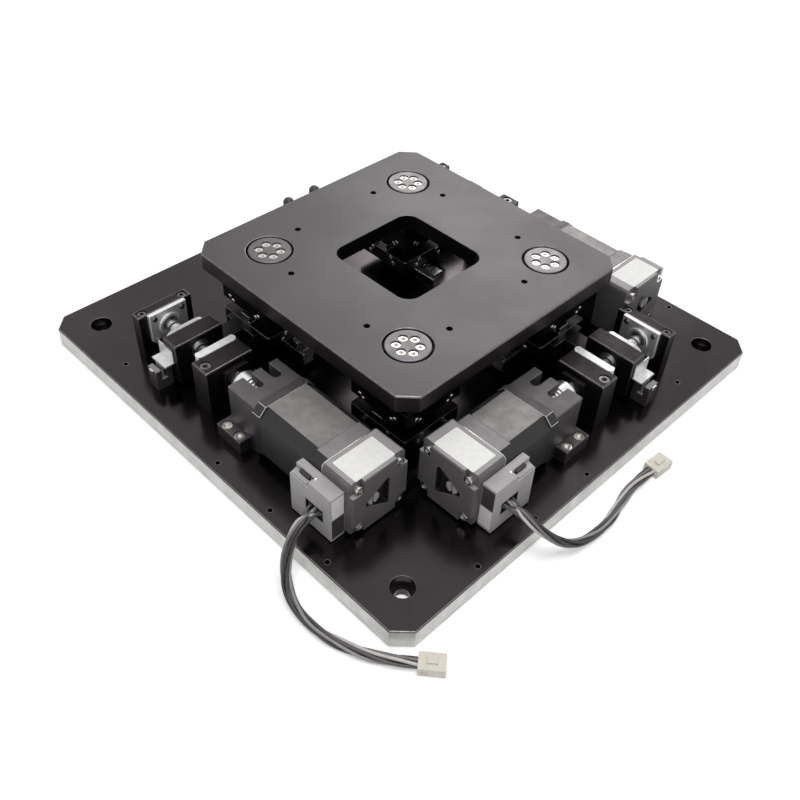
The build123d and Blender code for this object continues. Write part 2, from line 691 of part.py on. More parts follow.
def retainer_plates():
    """Bright retaining plates of the fixed and the far bearing, and the small cap."""
    height = AXIS_Z + BLOCK_TOP - BAR_LOW
    bar = span_box((BAR_S, BLOCK_S), (-BAR_W / 2, BAR_W / 2), (BLOCK_TOP - height, BLOCK_TOP))
    bar = fillet(bar.edges().filter_by(Axis.Z), BAR_T / 2 - CAP_BREAK)
    bar -= rod_x(BEARING_BORE_R - BEARING_GAP, BAR_S, BLOCK_S)
    cap = prism_x(RectangleRounded(CAP_SIDE, CAP_SIDE, CAP_CORNER), CAP_S, CAP_S + CAP_T)
    cap -= rod_x(LOCK_NUT_R + LOCK_NUT_GAP, CAP_S, CAP_S + CAP_T)
    half = END_PLATE_W / 2
    low = AXIS_Z - BAR_LOW
    corners = ((-half, -low + END_PLATE_CUT), (-half + END_PLATE_CUT, -low), (half - END_PLATE_CUT, -low),
               (half, -low + END_PLATE_CUT), (half, END_TOP), (-half, END_TOP))
    plate = prism_x(make_face(Polyline(*corners, close=True)), END_FACE_S, END_PLATE_S)
    plate -= rod_x(END_PLATE_BORE_R, END_FACE_S, END_PLATE_S)
    return [at_axis(piece) for piece in (bar, cap, plate)]


def end_block():
    """Support block at the far end of the screw, with its outer bearing ring."""
    body = span_box((END_FACE_S - END_L, END_FACE_S), (-END_HALF_W, END_HALF_W), (-AXIS_Z, END_TOP))
    body = chamfer(body.edges().group_by(Axis.Z)[-1], EDGE_BREAK)
    body -= rod_x(END_BEARING_R + PRESS_GAP, END_FACE_S - END_BEARING_L, END_FACE_S)
    ring = tube_x(END_BEARING_R, END_BEARING_BORE_R, END_FACE_S - END_BEARING_L, END_FACE_S)
    return [at_axis(body), at_axis(ring)]


def nut_bracket():
    """Bracket that ties the ball nut to its carriage, with the sensor flag."""
    body = span_box((NUT_LOW_S, NUT_HIGH_S), (-NUT_BLOCK_IN, NUT_BLOCK_OUT),
                    (NUT_BLOCK_LOW - AXIS_Z, NUT_BLOCK_TOP))
    body = chamfer(body.edges().group_by(Axis.Z)[-1], EDGE_BREAK)
    edge = PIVOT + MODULE_SIDE / 2 - AXIS_T
    level = (CARRIAGE_Z - AXIS_Z, CARRIAGE_Z + CARRIAGE_T - AXIS_Z)
    body += span_box((NUT_LOW_S, NUT_HIGH_S), (edge, -NUT_BLOCK_IN), level)
    foot = (-PIVOT - TONGUE_FOOT_L / 2, -PIVOT + TONGUE_FOOT_L / 2)
    body += span_box(foot, (edge, edge + TONGUE_FOOT_T), level)
    body -= rod_x(NUT_R + PRESS_GAP, NUT_LOW_S, NUT_HIGH_S)
    return [at_axis(body), at_line(flag())]


def flag():
    """Bent sheet flag on the nut bracket's outer end, its blade in the sensor's slot."""
    low_z = SENSOR_H + FLAG_LIFT
    blade_t = SENSOR_T + SENSOR_W / 2
    face_t = NUT_BLOCK_OUT
    blade_low = SENSOR_H - SENSOR_SLOT_H + FLAG_FLOOR_GAP
    right = NUT_S - SENSOR_SHIFT / 2 + FLAG_L / 2
    left = right - FLAG_L
    upright = span_box((left, right), (face_t, face_t + FLAG_T), (low_z, low_z + FLAG_H))
    shelf = span_box((left, right), (face_t, blade_t + FLAG_T / 2), (low_z, low_z + FLAG_T))
    blade_s = (SENSOR_S - FLAG_BLADE_L / 2, SENSOR_S + FLAG_BLADE_L / 2)
    blade = span_box(blade_s, (blade_t - FLAG_T / 2, blade_t + FLAG_T / 2), (blade_low, low_z + FLAG_T))
    return upright + shelf + blade


def ball_nut():
    """Ball nut with its flange plate."""
    body = rod_x(NUT_R, NUT_LOW_S, NUT_HIGH_S - NUT_END_GAP)
    face = RectangleRounded(NUT_FLANGE_W, NUT_FLANGE_H, NUT_FLANGE_R)
    body += prism_x(face, NUT_LOW_S - NUT_FLANGE_T, NUT_LOW_S)
    body -= rod_x(SCREW_R + NUT_GAP, NUT_LOW_S - NUT_FLANGE_T, NUT_HIGH_S)
    return at_axis(body)


def sensor():
    """Fork sensor with a slot for the flag."""
    along = (SENSOR_S - SENSOR_L / 2, SENSOR_S + SENSOR_L / 2)
    body = span_box(along, (SENSOR_T, SENSOR_T + SENSOR_W), (0, SENSOR_H))
    body = chamfer(body.edges().group_by(Axis.Z)[-1], EDGE_BREAK)
    middle = SENSOR_T + SENSOR_W / 2
    slot = (middle - SENSOR_SLOT_W / 2, middle + SENSOR_SLOT_W / 2)
    through = (along[0] - CUT_OVER, along[1] + CUT_OVER)
    body -= span_box(through, slot, (SENSOR_H - SENSOR_SLOT_H, SENSOR_H + CUT_OVER))
    return at_line(body)


def switch_post(y):
    """Upright round-topped plunger switch on the base plate."""
    x = -BASE_SIDE / 2 + POST_X
    post = rod_z(POST_R, 0, POST_H, x, y)
    return fillet(post.edges().sort_by(Axis.Z)[-1], POST_ROUND)


def fixed_screws():
    """Screws of the lower rails, the drive blocks and the encoder covers."""
    screws = []
    rail_seat = RAIL_H - M3[2] - HEAD_GAP
    for corner in CORNERS:
        for along in rail_screw_places(LOWER_RAIL_L):
            screw = Pos(along, 0, rail_seat) * cap_screw(M3, rail_seat - SHANK_SLACK)
            screws.append(corner_place(corner, screw))
    for drive in DRIVES:
        for along, across, seat, size in foot_screw_sites():
            spot = Pos(along, AXIS_T + across, seat)
            screws.append(place(drive, spot * cap_screw(size, seat - SHANK_SLACK)))
        for seat, across, up in cover_screw_sites(drive):
            spot = Pos(seat, AXIS_T + across, AXIS_Z + up) * Rot(0, 90, 0)
            screws.append(place(drive, spot * cap_screw(M3, 0.0)))
    return screws


def drill_feet(shape):
    """Cut the foot screws' holes and counterbores in a drive block."""
    for along, across, seat, size in foot_screw_sites():
        tool = head_pocket(size, AXIS_Z) + through_hole(size, seat + CUT_OVER)
        shape -= Pos(along, AXIS_T + across, seat) * tool
    return shape


def drill_cover(drive, shape):
    """Cut the cover screws' tapped holes."""
    for seat, across, up in cover_screw_sites(drive):
        tool = Rot(0, 90, 0) * tapped_hole(M3, SCREW_BITE)
        shape -= Pos(seat, AXIS_T + across, AXIS_Z + up) * tool
    return shape


# Motor leads

def corner_radii(points):
    """Largest arc that each corner of a route allows, from its two runs."""
    radii = []
    for before, at, after in zip(points, points[1:], points[2:]):
        run_in = Vector(*at) - Vector(*before)
        run_out = Vector(*after) - Vector(*at)
        turn = radians(run_in.get_angle(run_out))
        radii.append(RUN_SHARE * min(run_in.length, run_out.length) / tan(turn / 2))
    return radii


def cord(drive):
    """Bundle of motor leads as one tube of straight runs joined by arcs."""
    points = CORD_ROUTES[drive]
    radii = corner_radii(points)
    path = FilletPolyline(*points, radius=radii)
    start = Plane(origin=points[0], z_dir=path % 0)
    tube = sweep(start * Circle(CORD_R), path)
    ideal = pi * CORD_R ** 2 * path.length
    print("cord", drive, "length", round(path.length, 1), "radii", [round(r, 1) for r in radii],
          "volume ratio", round(tube.volume / ideal, 4))
    return tube


def plug(drive):
    """Nylon plug at the end of a bundle, with a latch on its back."""
    end = Vector(*CORD_ROUTES[drive][-1])
    heading = (end - Vector(*CORD_ROUTES[drive][-2])).normalized()
    body = fillet(Box(PLUG_L, PLUG_W, PLUG_H).edges().filter_by(Axis.X), PLUG_R)
    body += Pos(0, 0, PLUG_H / 2 + LATCH_H / 2) * Box(LATCH_L, LATCH_W, LATCH_H)
    frame = Plane(origin=end + heading * (PLUG_L / 2), x_dir=heading, z_dir=(0, 0, 1))
    return frame * body


# Nodes

def build_nodes():
    """All nodes, as lists of solids by name, in heights counted from the base plate's top."""
    nodes = {"base_plate": [base_plate()], "top_plate": [top_plate()]}
    nodes["guide_rails"] = [corner_place(corner, rail(LOWER_RAIL_L)) for corner in CORNERS]
    nodes["fixed_screws"] = fixed_screws()
    nodes["bearing_housings"] = []
    for corner in CORNERS:
        nodes["carriage_plate_" + corner] = [corner_place(corner, carriage_plate())]
        nodes["lower_guide_" + corner] = [corner_place(corner, piece) for piece in lower_guide()]
        nodes["hub_" + corner] = [corner_place(corner, piece) for piece in hub()]
        nodes["bearing_cap_" + corner] = [corner_place(corner, piece) for piece in bearing_cap()]
        nodes["bearing_housings"] += [corner_place(corner, piece) for piece in bearing_housing()]
    shared = {
        "motor_bracket_": [drill_feet(motor_bracket())],
        "coupling_": coupling(),
        "ball_screw_": ball_screw(),
        "bearing_block_": [drill_feet(bearing_block()[0]), bearing_block()[1]],
        "end_block_": [drill_feet(end_block()[0]), end_block()[1]],
        "retainer_plates_": retainer_plates(),
        "nut_bracket_": nut_bracket(),
        "ball_nut_": [ball_nut()],
    }
    for drive in DRIVES:
        for name, pieces in shared.items():
            nodes[name + drive] = [place(drive, piece) for piece in pieces]
        motor = [drill_cover(drive, piece) for piece in motor_body(drive)]
        nodes["motor_body_" + drive] = [place(drive, piece) for piece in motor]
        nodes["encoder_cover_" + drive] = [place(drive, drill_cover(drive, encoder_cover(drive)))]
        nodes["connector_box_" + drive] = [place(drive, connector_box(drive))]
    nodes["ball_screw_x1"].append(place("x1", lock_nut()))
    nodes["ball_screw_y"].append(place("y", lock_nut()))
    nodes["lock_nut_x2"] = [place("x2", lock_nut())]
    nodes["limit_switches"] = [place(drive, sensor()) for drive in DRIVES]
    nodes["limit_switches"] += [switch_post(y) for y in POST_SITES]
    return nodes


def write_nodes():
    """Write each node as one file, lifted so that the base plate stands on Z = 0."""
    os.makedirs("parts", exist_ok=True)
    for name, pieces in build_nodes().items():
        solids = [solid for piece in pieces for solid in split(Pos(0, 0, BASE_T) * piece)]
        export_step(Compound(children=solids), "parts/" + name + ".step")
    for drive in CORDED:
        export_step(Compound(children=split(cord(drive))), "parts/cable_" + drive + ".step")
        export_step(Compound(children=split(plug(drive))), "parts/cable_plug_" + drive + ".step")


write_nodes()
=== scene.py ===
"""Looks of the alignment stage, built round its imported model.

Every CAD node is copied, merged, split in its solids and dressed with the finishes of the
real metals and plastics. Small parts that the solids leave out are modelled here.
Lengths are in metres in the row frame unless a name ends in _mm.
"""

import json
import logging
import math
from collections.abc import Callable, Sequence
from dataclasses import dataclass
from enum import Enum

import bmesh
import bpy
from bmesh.types import BMesh, BMFace
from bpy.types import ID, Material, Node, NodeSocket, NodeTree, Object, World
from mathutils import Matrix, Vector

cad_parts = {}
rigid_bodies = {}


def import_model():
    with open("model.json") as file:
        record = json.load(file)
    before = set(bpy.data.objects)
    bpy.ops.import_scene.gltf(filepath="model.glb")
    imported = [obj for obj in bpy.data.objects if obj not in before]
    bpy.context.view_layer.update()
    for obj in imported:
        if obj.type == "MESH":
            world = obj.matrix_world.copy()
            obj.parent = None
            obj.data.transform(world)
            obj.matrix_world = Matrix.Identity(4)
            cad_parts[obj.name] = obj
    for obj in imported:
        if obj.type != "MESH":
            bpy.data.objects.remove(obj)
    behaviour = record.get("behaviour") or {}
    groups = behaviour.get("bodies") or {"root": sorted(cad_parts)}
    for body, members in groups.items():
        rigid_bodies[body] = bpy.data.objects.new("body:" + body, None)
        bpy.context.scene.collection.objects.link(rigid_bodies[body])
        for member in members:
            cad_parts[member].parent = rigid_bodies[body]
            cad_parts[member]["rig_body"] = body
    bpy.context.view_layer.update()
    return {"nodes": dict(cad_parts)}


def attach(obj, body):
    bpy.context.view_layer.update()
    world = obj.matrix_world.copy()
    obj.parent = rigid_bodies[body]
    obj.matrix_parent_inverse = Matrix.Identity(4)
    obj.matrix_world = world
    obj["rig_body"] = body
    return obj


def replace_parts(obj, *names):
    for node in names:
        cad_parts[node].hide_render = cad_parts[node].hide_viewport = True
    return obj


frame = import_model()

Pair = tuple[float, float]
Triple = tuple[float, float, float]
Pairs = tuple[Pair, ...]
Block = tuple[Triple, Triple]

LOG = logging.getLogger("stage")
MM = 0.001
BASE_TOP = 14 * MM
PIVOT = 64 * MM
AXIS_T = 127.5 * MM
AXIS_Z = BASE_TOP + 22.5 * MM
MERGE_DISTANCE = 2e-6
SHARP_ANGLE = math.radians(32)
CURVE_ANGLE = math.radians(0.5)
LEAD_ANGLE = math.radians(60)
BEVEL_SHARE = 3.0
EDGE_LIFT = 0.25
BRUSH_STRETCH = 0.04
WAVE_TURN = math.pi / 10
PATCH_LOW = 0.3
PATCH_HIGH = 0.7
SPOT = "spot"


# Places


class Drive(Enum):
    """The three ball-screw drives, each with the turn from its own frame to the row frame."""

    X1 = "x1"
    X2 = "x2"
    Y = "y"

    @property
    def matrix(self) -> Matrix:
        """Turn from (along the screw, outwards, up) to the row frame."""
        rows = {
            Drive.X1: ((1, 0, 0), (0, -1, 0), (0, 0, 1)),
            Drive.X2: ((1, 0, 0), (0, 1, 0), (0, 0, 1)),
            Drive.Y: ((0, 1, 0), (-1, 0, 0), (0, 0, 1)),
        }
        return Matrix(rows[self]).to_4x4()


class Corner(Enum):
    """The four corner modules, each with the signs of its place and its turn."""

    A = ("a", -1, -1, 0)
    B = ("b", 1, -1, 0)
    C = ("c", 1, 1, 90)
    D = ("d", -1, 1, 0)

    @property
    def letter(self) -> str:
        """Letter that the module's nodes end in."""
        return self.value[0]

    @property
    def matrix(self) -> Matrix:
        """Place and turn from the module's own frame to the row frame."""
        _, sign_x, sign_y, turn = self.value
        place = Matrix.Translation((sign_x * PIVOT, sign_y * PIVOT, 0))
        return place @ Matrix.Rotation(math.radians(turn), 4, "Z")


def add_object(name: str, data: ID) -> Object:
    """Add an object with its data to the scene."""
    made = bpy.data.objects.new(name, data)
    bpy.context.scene.collection.objects.link(made)
    return made


def axes(along: Vector, across: Vector, up: Vector) -> Matrix:
    """Turn to the frame that three unit vectors span."""
    return Matrix((along, across, up)).transposed().to_4x4()


def facing(direction: Sequence[float], place: Sequence[float]) -> Matrix:
    """Place whose own Z points in a direction.

    Args:
        direction: Where Z points.
        place: Where the origin goes.

    Returns:
        The matrix.
    """
    turn = Vector(direction).to_track_quat("Z", "Y").to_matrix().to_4x4()
    return Matrix.Translation(place) @ turn


def body_of(node: str) -> str:
    """Name of the body that a CAD node rides on."""
    return frame["nodes"][node]["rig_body"]


# Finishes


def linear(code: str) -> tuple[float, float, float, float]:
    """Turn an sRGB hex colour into linear values.

    Args:
        code: Colour as six hex digits.

    Returns:
        Linear red, green and blue, with full alpha.
    """
    values = []
    for start in (0, 2, 4):
        value = int(code[start:start + 2], 16) / 255
        values.append(value / 12.92 if value <= 0.04045 else ((value + 0.055) / 1.055) ** 2.4)
    return (values[0], values[1], values[2], 1.0)


def add_node(tree: NodeTree, kind: str, settings: dict | None = None,
             inputs: dict | None = None) -> Node:
    """Add a shader node with its settings, values and links.

    Args:
        tree: Node tree that gets the node.
        kind: Blender's name for the node type.
        settings: Node properties by name.
        inputs: Values, or sockets to link from, by input name or number.

    Returns:
        The new node.
    """
    node = tree.nodes.new(kind)
    for name, value in (settings or {}).items():
        setattr(node, name, value)
    for name, value in (inputs or {}).items():
        if isinstance(value, NodeSocket):
            tree.links.new(value, node.inputs[name])
        else:
            node.inputs[name].default_value = value
    return node


def empty_nodes(owner: Material | World) -> NodeTree:
    """Emptied node tree of a new material or world."""
    owner.use_nodes = True
    owner.node_tree.nodes.clear()
    return owner.node_tree


class Texture(Enum):
    """How a finish's surface was made."""

    BLASTED = "bead blasted"
    BRUSHED = "ground along X"
    TURNED_X = "turned about X"
    TURNED_Z = "turned about Z"
    LAMINATED = "stacked sheets along X"
    MOULDED = "spark-eroded mould"


@dataclass(frozen=True)
class Finish:
    """One material: its colours, shine, patches and surface relief.

    patch_mm is the size of the soft changes in tone, grain_mm the size of the relief's
    marks and relief_mm their height.
    """

    name: str
    colour: str
    patch_colour: str
    metallic: float
    roughness: float
    roughness_spread: float = 0.06
    patch_mm: float = 14.0
    grain_mm: float = 0.6
    relief_mm: float = 0.004
    texture: Texture = Texture.BLASTED
    ior: float = 1.5

    def build(self) -> Material:
        """Make the Blender material, or return it if it is there already."""
        made = bpy.data.materials.get(self.name)
        if made:
            return made
        material = bpy.data.materials.new(self.name)
        tree = empty_nodes(material)
        place = add_node(tree, "ShaderNodeTexCoord").outputs["Object"]
        patches = add_node(tree, "ShaderNodeTexNoise", inputs={
            "Vector": place, "Scale": 1 / (self.patch_mm * MM), "Detail": 4.0, "Roughness": 0.6})
        source = {"Value": patches.outputs["Fac"], "From Min": PATCH_LOW, "From Max": PATCH_HIGH}
        spread = add_node(tree, "ShaderNodeMapRange", inputs=source)
        colour = add_node(tree, "ShaderNodeMix", {"data_type": "RGBA"}, {
            "Factor": spread.outputs["Result"], 6: linear(self.colour), 7: linear(self.patch_colour)})
        grain = self.grain(tree, place)
        shine = add_node(tree, "ShaderNodeMapRange", inputs={
            **source, "To Min": self.roughness - self.roughness_spread,
            "To Max": self.roughness + self.roughness_spread})
        bump = add_node(tree, "ShaderNodeBump", inputs={
            "Strength": 1.0, "Distance": self.relief_mm * MM, "Height": grain})
        values = {
            "Base Color": colour.outputs[2], "Roughness": shine.outputs["Result"],
            "Metallic": self.metallic, "Normal": bump.outputs["Normal"]}
        if self.metallic < 1:
            values["IOR"] = self.ior
        shader = add_node(tree, "ShaderNodeBsdfPrincipled", inputs=values)
        add_node(tree, "ShaderNodeOutputMaterial", inputs={"Surface": shader.outputs["BSDF"]})
        return material

    def grain(self, tree: NodeTree, place: NodeSocket) -> NodeSocket:
        """Add the nodes that give the relief's height.

        Args:
            tree: The material's node tree.
            place: Object coordinates.

        Returns:
            Socket with the height from 0 to 1.
        """
        scale = 1 / (self.grain_mm * MM)
        own = add_node(tree, "ShaderNodeAttribute", {"attribute_name": SPOT}).outputs["Vector"]
        if self.texture in (Texture.BLASTED, Texture.MOULDED):
            smooth = self.texture is Texture.MOULDED
            return add_node(tree, "ShaderNodeTexNoise", inputs={
                "Vector": place, "Scale": scale, "Detail": 1.0 if smooth else 3.0}).outputs["Fac"]
        if self.texture is Texture.BRUSHED:
            stretched = add_node(tree, "ShaderNodeMapping", inputs={
                "Vector": own, "Scale": (BRUSH_STRETCH, 1.0, 1.0)})
            return add_node(tree, "ShaderNodeTexNoise", inputs={
                "Vector": stretched.outputs["Vector"], "Scale": scale, "Detail": 3.0}).outputs["Fac"]
        wave = WAVE_TURN / (self.grain_mm * MM)
        if self.texture is Texture.LAMINATED:
            return add_node(tree, "ShaderNodeTexWave", {"wave_type": "BANDS", "bands_direction": "X"}, {
                "Vector": own, "Scale": wave, "Distortion": 0.2, "Detail": 1.0}).outputs["Fac"]
        axis = "X" if self.texture is Texture.TURNED_X else "Z"
        return add_node(tree, "ShaderNodeTexWave", {"wave_type": "RINGS", "rings_direction": axis}, {
            "Vector": own, "Scale": wave, "Distortion": 0.6, "Detail": 2.0}).outputs["Fac"]


# Black anodised cast tooling plate, fly-cut and sealed: a deep black that mirrors what stands on it.
BASE_BLACK = Finish("base_black_anodised", "3d393a", "454142", 1.0, 0.19, 0.05, 60, 0.5, 0.0012)
# Sawn and milled aluminium left bare round the base plate: pale, with fine cutter marks.
MILLED_EDGE = Finish("milled_bare_edge", "c4c4c2", "b4b4b2", 1.0, 0.42, 0.06, 9, 0.5, 0.004)
# Bead-blasted top plate with dark grey anodising: even satin, no mirror.
TOP_GREY = Finish("top_grey_anodised", "575556", "524f50", 1.0, 0.46, 0.03, 70, 0.45, 0.003)
# The top plate's milled sides, painted darker than its blasted top as shade.
TOP_SHADED_SIDE = Finish("top_anodised_painted_side_shade", "312d2e", "393536", 1.0, 0.36, 0.04, 30, 0.5, 0.003)
# Black anodised milled blocks: dark satin that loses itself in shade.
MODULE_BLACK = Finish("module_black_anodised", "252122", "2c2829", 1.0, 0.38, 0.05, 12, 0.5, 0.003)
BLOCK_BLACK = Finish("block_black_anodised", "363233", "2d292a", 1.0, 0.4, 0.05, 10, 0.5, 0.003)
# Worn upper corners where the anodising is thin and the aluminium shows through; since only upward edges get
# it, it is also a painted highlight.
WORN_EDGE_AND_HIGHLIGHT = Finish("thin_anodised_edge_and_painted_highlight", "7c797a", "5f5c5d", 1.0, 0.4, 0.08, 3, 0.5, 0.003)
# Grey anodised walls of the motor brackets: matt, a little lighter than the blocks.
BRACKET_GREY = Finish("bracket_grey_anodised", "565354", "4c494a", 1.0, 0.46, 0.05, 14, 0.45, 0.004)
# Top faces of the same brackets, painted lighter as lit from above: an even grey.
BRACKET_LIT_TOP = Finish("bracket_anodised_painted_lit_top", "605d5e", "565354", 1.0, 0.5, 0.04, 14, 0.45, 0.003)
# Turned aluminium cap, grey anodised: rings from the lathe turn the light about its middle.
CAP_GREY = Finish("turned_cap_aluminium", "6d6b6c", "605e5f", 1.0, 0.38, 0.04, 8, 0.7, 0.003,
                  Texture.TURNED_Z)
# Ground and nickel-plated steel plates: nearly white where they face the light.
BRIGHT_PLATE = Finish("plated_bright_plate", "e6e6e5", "d0d0cf", 0.85, 0.45, 0.08, 5, 0.35, 0.004,
                      Texture.BRUSHED)
# Turned aluminium of the coupling: bright, with rings about its axis.
COUPLING_BRIGHT = Finish("turned_coupling_aluminium", "e8e8e8", "dadada", 1.0, 0.32, 0.04, 6, 0.6,
                         0.003, Texture.TURNED_X)
# Hardened bearing steel, ground: cool grey with a fine lay.
BEARING_STEEL = Finish("ground_bearing_steel", "c6c7ca", "b2b3b6", 1.0, 0.24, 0.05, 7, 0.35, 0.003,
                       Texture.BRUSHED)
# The same steel turned and ground in rings: a thin bright line round each bearing.
RING_STEEL = Finish("turned_ring_steel", "cfd0d2", "babbbe", 1.0, 0.22, 0.04, 6, 0.5, 0.003,
                    Texture.TURNED_Z)
# Rolled and ground screw shaft: bright along its lands.
SHAFT_STEEL = Finish("rolled_screw_steel", "dcdcde", "c8c8cc", 1.0, 0.32, 0.05, 4, 0.5, 0.002,
                     Texture.TURNED_X)
# Oiled floor of the ball track: the same steel in shade.
TRACK_STEEL = Finish("ball_track_steel", "504f51", "403f41", 1.0, 0.4, 0.06, 2, 0.4, 0.002)
# Nickel-plated socket screws: small, round and very bright.
FASTENER = Finish("nickel_plated_screw", "e8e6e2", "d0cec9", 1.0, 0.24, 0.06, 2, 0.3, 0.002)
# Alloy screws with black oxide: nearly black, oily shine that leaves small glints.
BLACK_SCREW = Finish("black_oxide_screw", "747273", "5e5c5d", 1.0, 0.22, 0.06, 2, 0.3, 0.002)
# Ground steel of the ball nuts and lock nuts: a little duller than the rails.
NUT_STEEL = Finish("ground_nut_steel", "c2c1bf", "a9a8a6", 1.0, 0.32, 0.06, 5, 0.35, 0.004,
                   Texture.BRUSHED)
# Cut threads at the clip holes: dull bare metal round a dark hole.
THREAD_RIM = Finish("cut_thread_rim", "8f8d8c", "7a7877", 1.0, 0.42, 0.06, 1, 0.3, 0.003)
# Die-cast front flange under thin black paint: as dark as the bracket, with a slight cast skin.
CAST_FLANGE = Finish("cast_motor_flange", "484546", "403d3e", 0.8, 0.42, 0.06, 6, 0.9, 0.008)
# Upward broken edges of the front flange, painted bright as a highlight: a bright line along each.
FLANGE_EDGE_HIGHLIGHT = Finish("motor_edge_painted_highlight", "bdbbbc", "a3a1a2", 1.0, 0.34, 0.06, 3, 0.4, 0.003)
# Painted die-cast rear flange: a lighter grey than the front one, with a soft shine.
REAR_FLANGE = Finish("painted_rear_flange", "827f80", "777475", 0.35, 0.42, 0.05, 7, 0.6, 0.005)
# Walls and cut corners of the cast front flange, painted dark as shade over the cast skin.
FLANGE_SHADED_WALL = Finish("flange_painted_wall_shade", "302d2c", "282524", 0.3, 0.36, 0.05, 8, 0.9, 0.008)
# The motor's upright and cut faces, painted a dark satin brown-black as shade.
MOTOR_SHADED_WALL = Finish("motor_painted_wall_shade", "1b1918", "151313", 0.1, 0.5, 0.05, 8, 0.8, 0.008)
# Stacked silicon-steel sheets under a thin grey lacquer: faint lines across the motor's top.
# The 0.5 mm sheets are drawn 1 mm thick so that they show.
STATOR_STACK = Finish("lacquered_steel_stack", "83807f", "6e6b6b", 0.35, 0.4, 0.06, 8, 1.0, 0.012,
                      Texture.LAMINATED)
# Moulded grey PBT encoder cover: fine spark-eroded grain, low sheen.
COVER_GREY = Finish("moulded_cover_plastic", "a19e9f", "969394", 0.0, 0.48, 0.04, 12, 0.8, 0.012,
                    Texture.MOULDED)
# Upright walls of the same cover, painted darker as shade, with a coarser texture: a dull middle grey.
COVER_SHADED_WALL = Finish("cover_plastic_painted_wall_shade", "656263", "5b5859", 0.0, 0.55, 0.04, 12, 0.9, 0.014,
                    Texture.MOULDED)
# Dark insert in the cover's dish: shows the dial in front of it.
DISH_DARK = Finish("moulded_dark_dish", "1c191a", "151213", 0.0, 0.45, 0.04, 6, 0.8, 0.01,
                   Texture.MOULDED)
# Small moulded dial: paler than the dish, with a slot for a screwdriver.
DIAL_GREY = Finish("moulded_dial", "bfbcbd", "aba8a9", 0.0, 0.42, 0.04, 3, 0.6, 0.008,
                   Texture.MOULDED)
# Paler grey plastic of the connector housing: nearly matt.
BOX_GREY = Finish("moulded_box_plastic", "b2afb0", "a6a3a4", 0.0, 0.52, 0.04, 12, 0.8, 0.012,
                  Texture.MOULDED)
# Dark glass-filled nylon of the runners' end caps and the sensors.
DARK_NYLON = Finish("dark_filled_nylon", "343132", "2a2728", 0.0, 0.46, 0.05, 4, 0.6, 0.01,
                    Texture.MOULDED)
# Tops of the fork sensors, painted grey as lit over their black sides.
SENSOR_LIT_TOP = Finish("sensor_plastic_painted_lit_top", "8b8889", "7b7879", 0.0, 0.44, 0.05, 4, 0.6, 0.01,
                     Texture.MOULDED)
# Coated paper sticker: white, nearly matt, with faint fibre.
LABEL_WHITE = Finish("white_paper_label", "f4f3f1", "eae9e6", 0.0, 0.55, 0.05, 3, 0.4, 0.004)
# Dark sticker of the connector housing: satin print, no white paper left.
LABEL_DARK = Finish("dark_paper_label", "3a3637", "454142", 0.0, 0.4, 0.05, 3, 0.4, 0.004)
# Natural nylon plug: milky and slightly translucent, so pale with a soft sheen.
PLUG_NYLON = Finish("natural_nylon_plug", "e4e0d4", "d8d4c7", 0.0, 0.42, 0.05, 5, 0.6, 0.006,
                    Texture.MOULDED)
# Black plastic of the socket's plug, and painted shade inside the lead socket and in the slot by the latch
# lever: keeps the wires' roots dark.
BLACK_PLUG_AND_SOCKET_SHADE = Finish("black_plug_and_painted_socket_shade", "242122", "1c191a", 0.0, 0.45, 0.05, 4, 0.6, 0.008,
                      Texture.MOULDED)
# Tinned contacts: small bright tongues in the plug.
PIN_TIN = Finish("tinned_contact", "d9d8d4", "c4c3bf", 1.0, 0.3, 0.06, 1, 0.3, 0.002)
# Thin PVC-insulated leads in blacks, greys and off-white: a soft shine along each round back.
LEAD_FINISHES = (
    Finish("lead_pvc_black", "2b2829", "353233", 0.0, 0.4, 0.05, 5, 0.4, 0.004),
    Finish("lead_pvc_grey", "7a7778", "6c696a", 0.0, 0.42, 0.05, 5, 0.4, 0.004),
    Finish("lead_pvc_white", "cfccc9", "c0bdba", 0.0, 0.42, 0.05, 5, 0.4, 0.004),
    Finish("lead_pvc_dark_grey", "4a4748", "545152", 0.0, 0.42, 0.05, 5, 0.4, 0.004),
    Finish("lead_pvc_pale", "9d9a98", "8e8b89", 0.0, 0.42, 0.05, 5, 0.4, 0.004),
)


# Making pieces


@dataclass(frozen=True)
class Site:
    """Where a face lies: its middle and normal, and its solid's lowest and highest corners."""

    at: Vector
    normal: Vector
    low: Vector
    high: Vector

    @property
    def size(self) -> Vector:
        """Size of the solid."""
        return self.high - self.low


Chooser = Callable[[Site], Finish]


def islands(mesh: BMesh) -> list[list[BMFace]]:
    """Group faces that meet along edges of exactly two faces.

    Args:
        mesh: Mesh whose doubles are merged.

    Returns:
        One list of faces for each closed solid.
    """
    mesh.faces.ensure_lookup_table()
    seen: set[int] = set()
    groups = []
    for face in mesh.faces:
        if face.index in seen:
            continue
        seen.add(face.index)
        group, front = [face], [face]
        while front:
            for edge in front.pop().edges:
                if len(edge.link_faces) != 2:
                    continue
                for other in edge.link_faces:
                    if other.index not in seen:
                        seen.add(other.index)
                        group.append(other)
                        front.append(other)
        groups.append(group)
    return groups


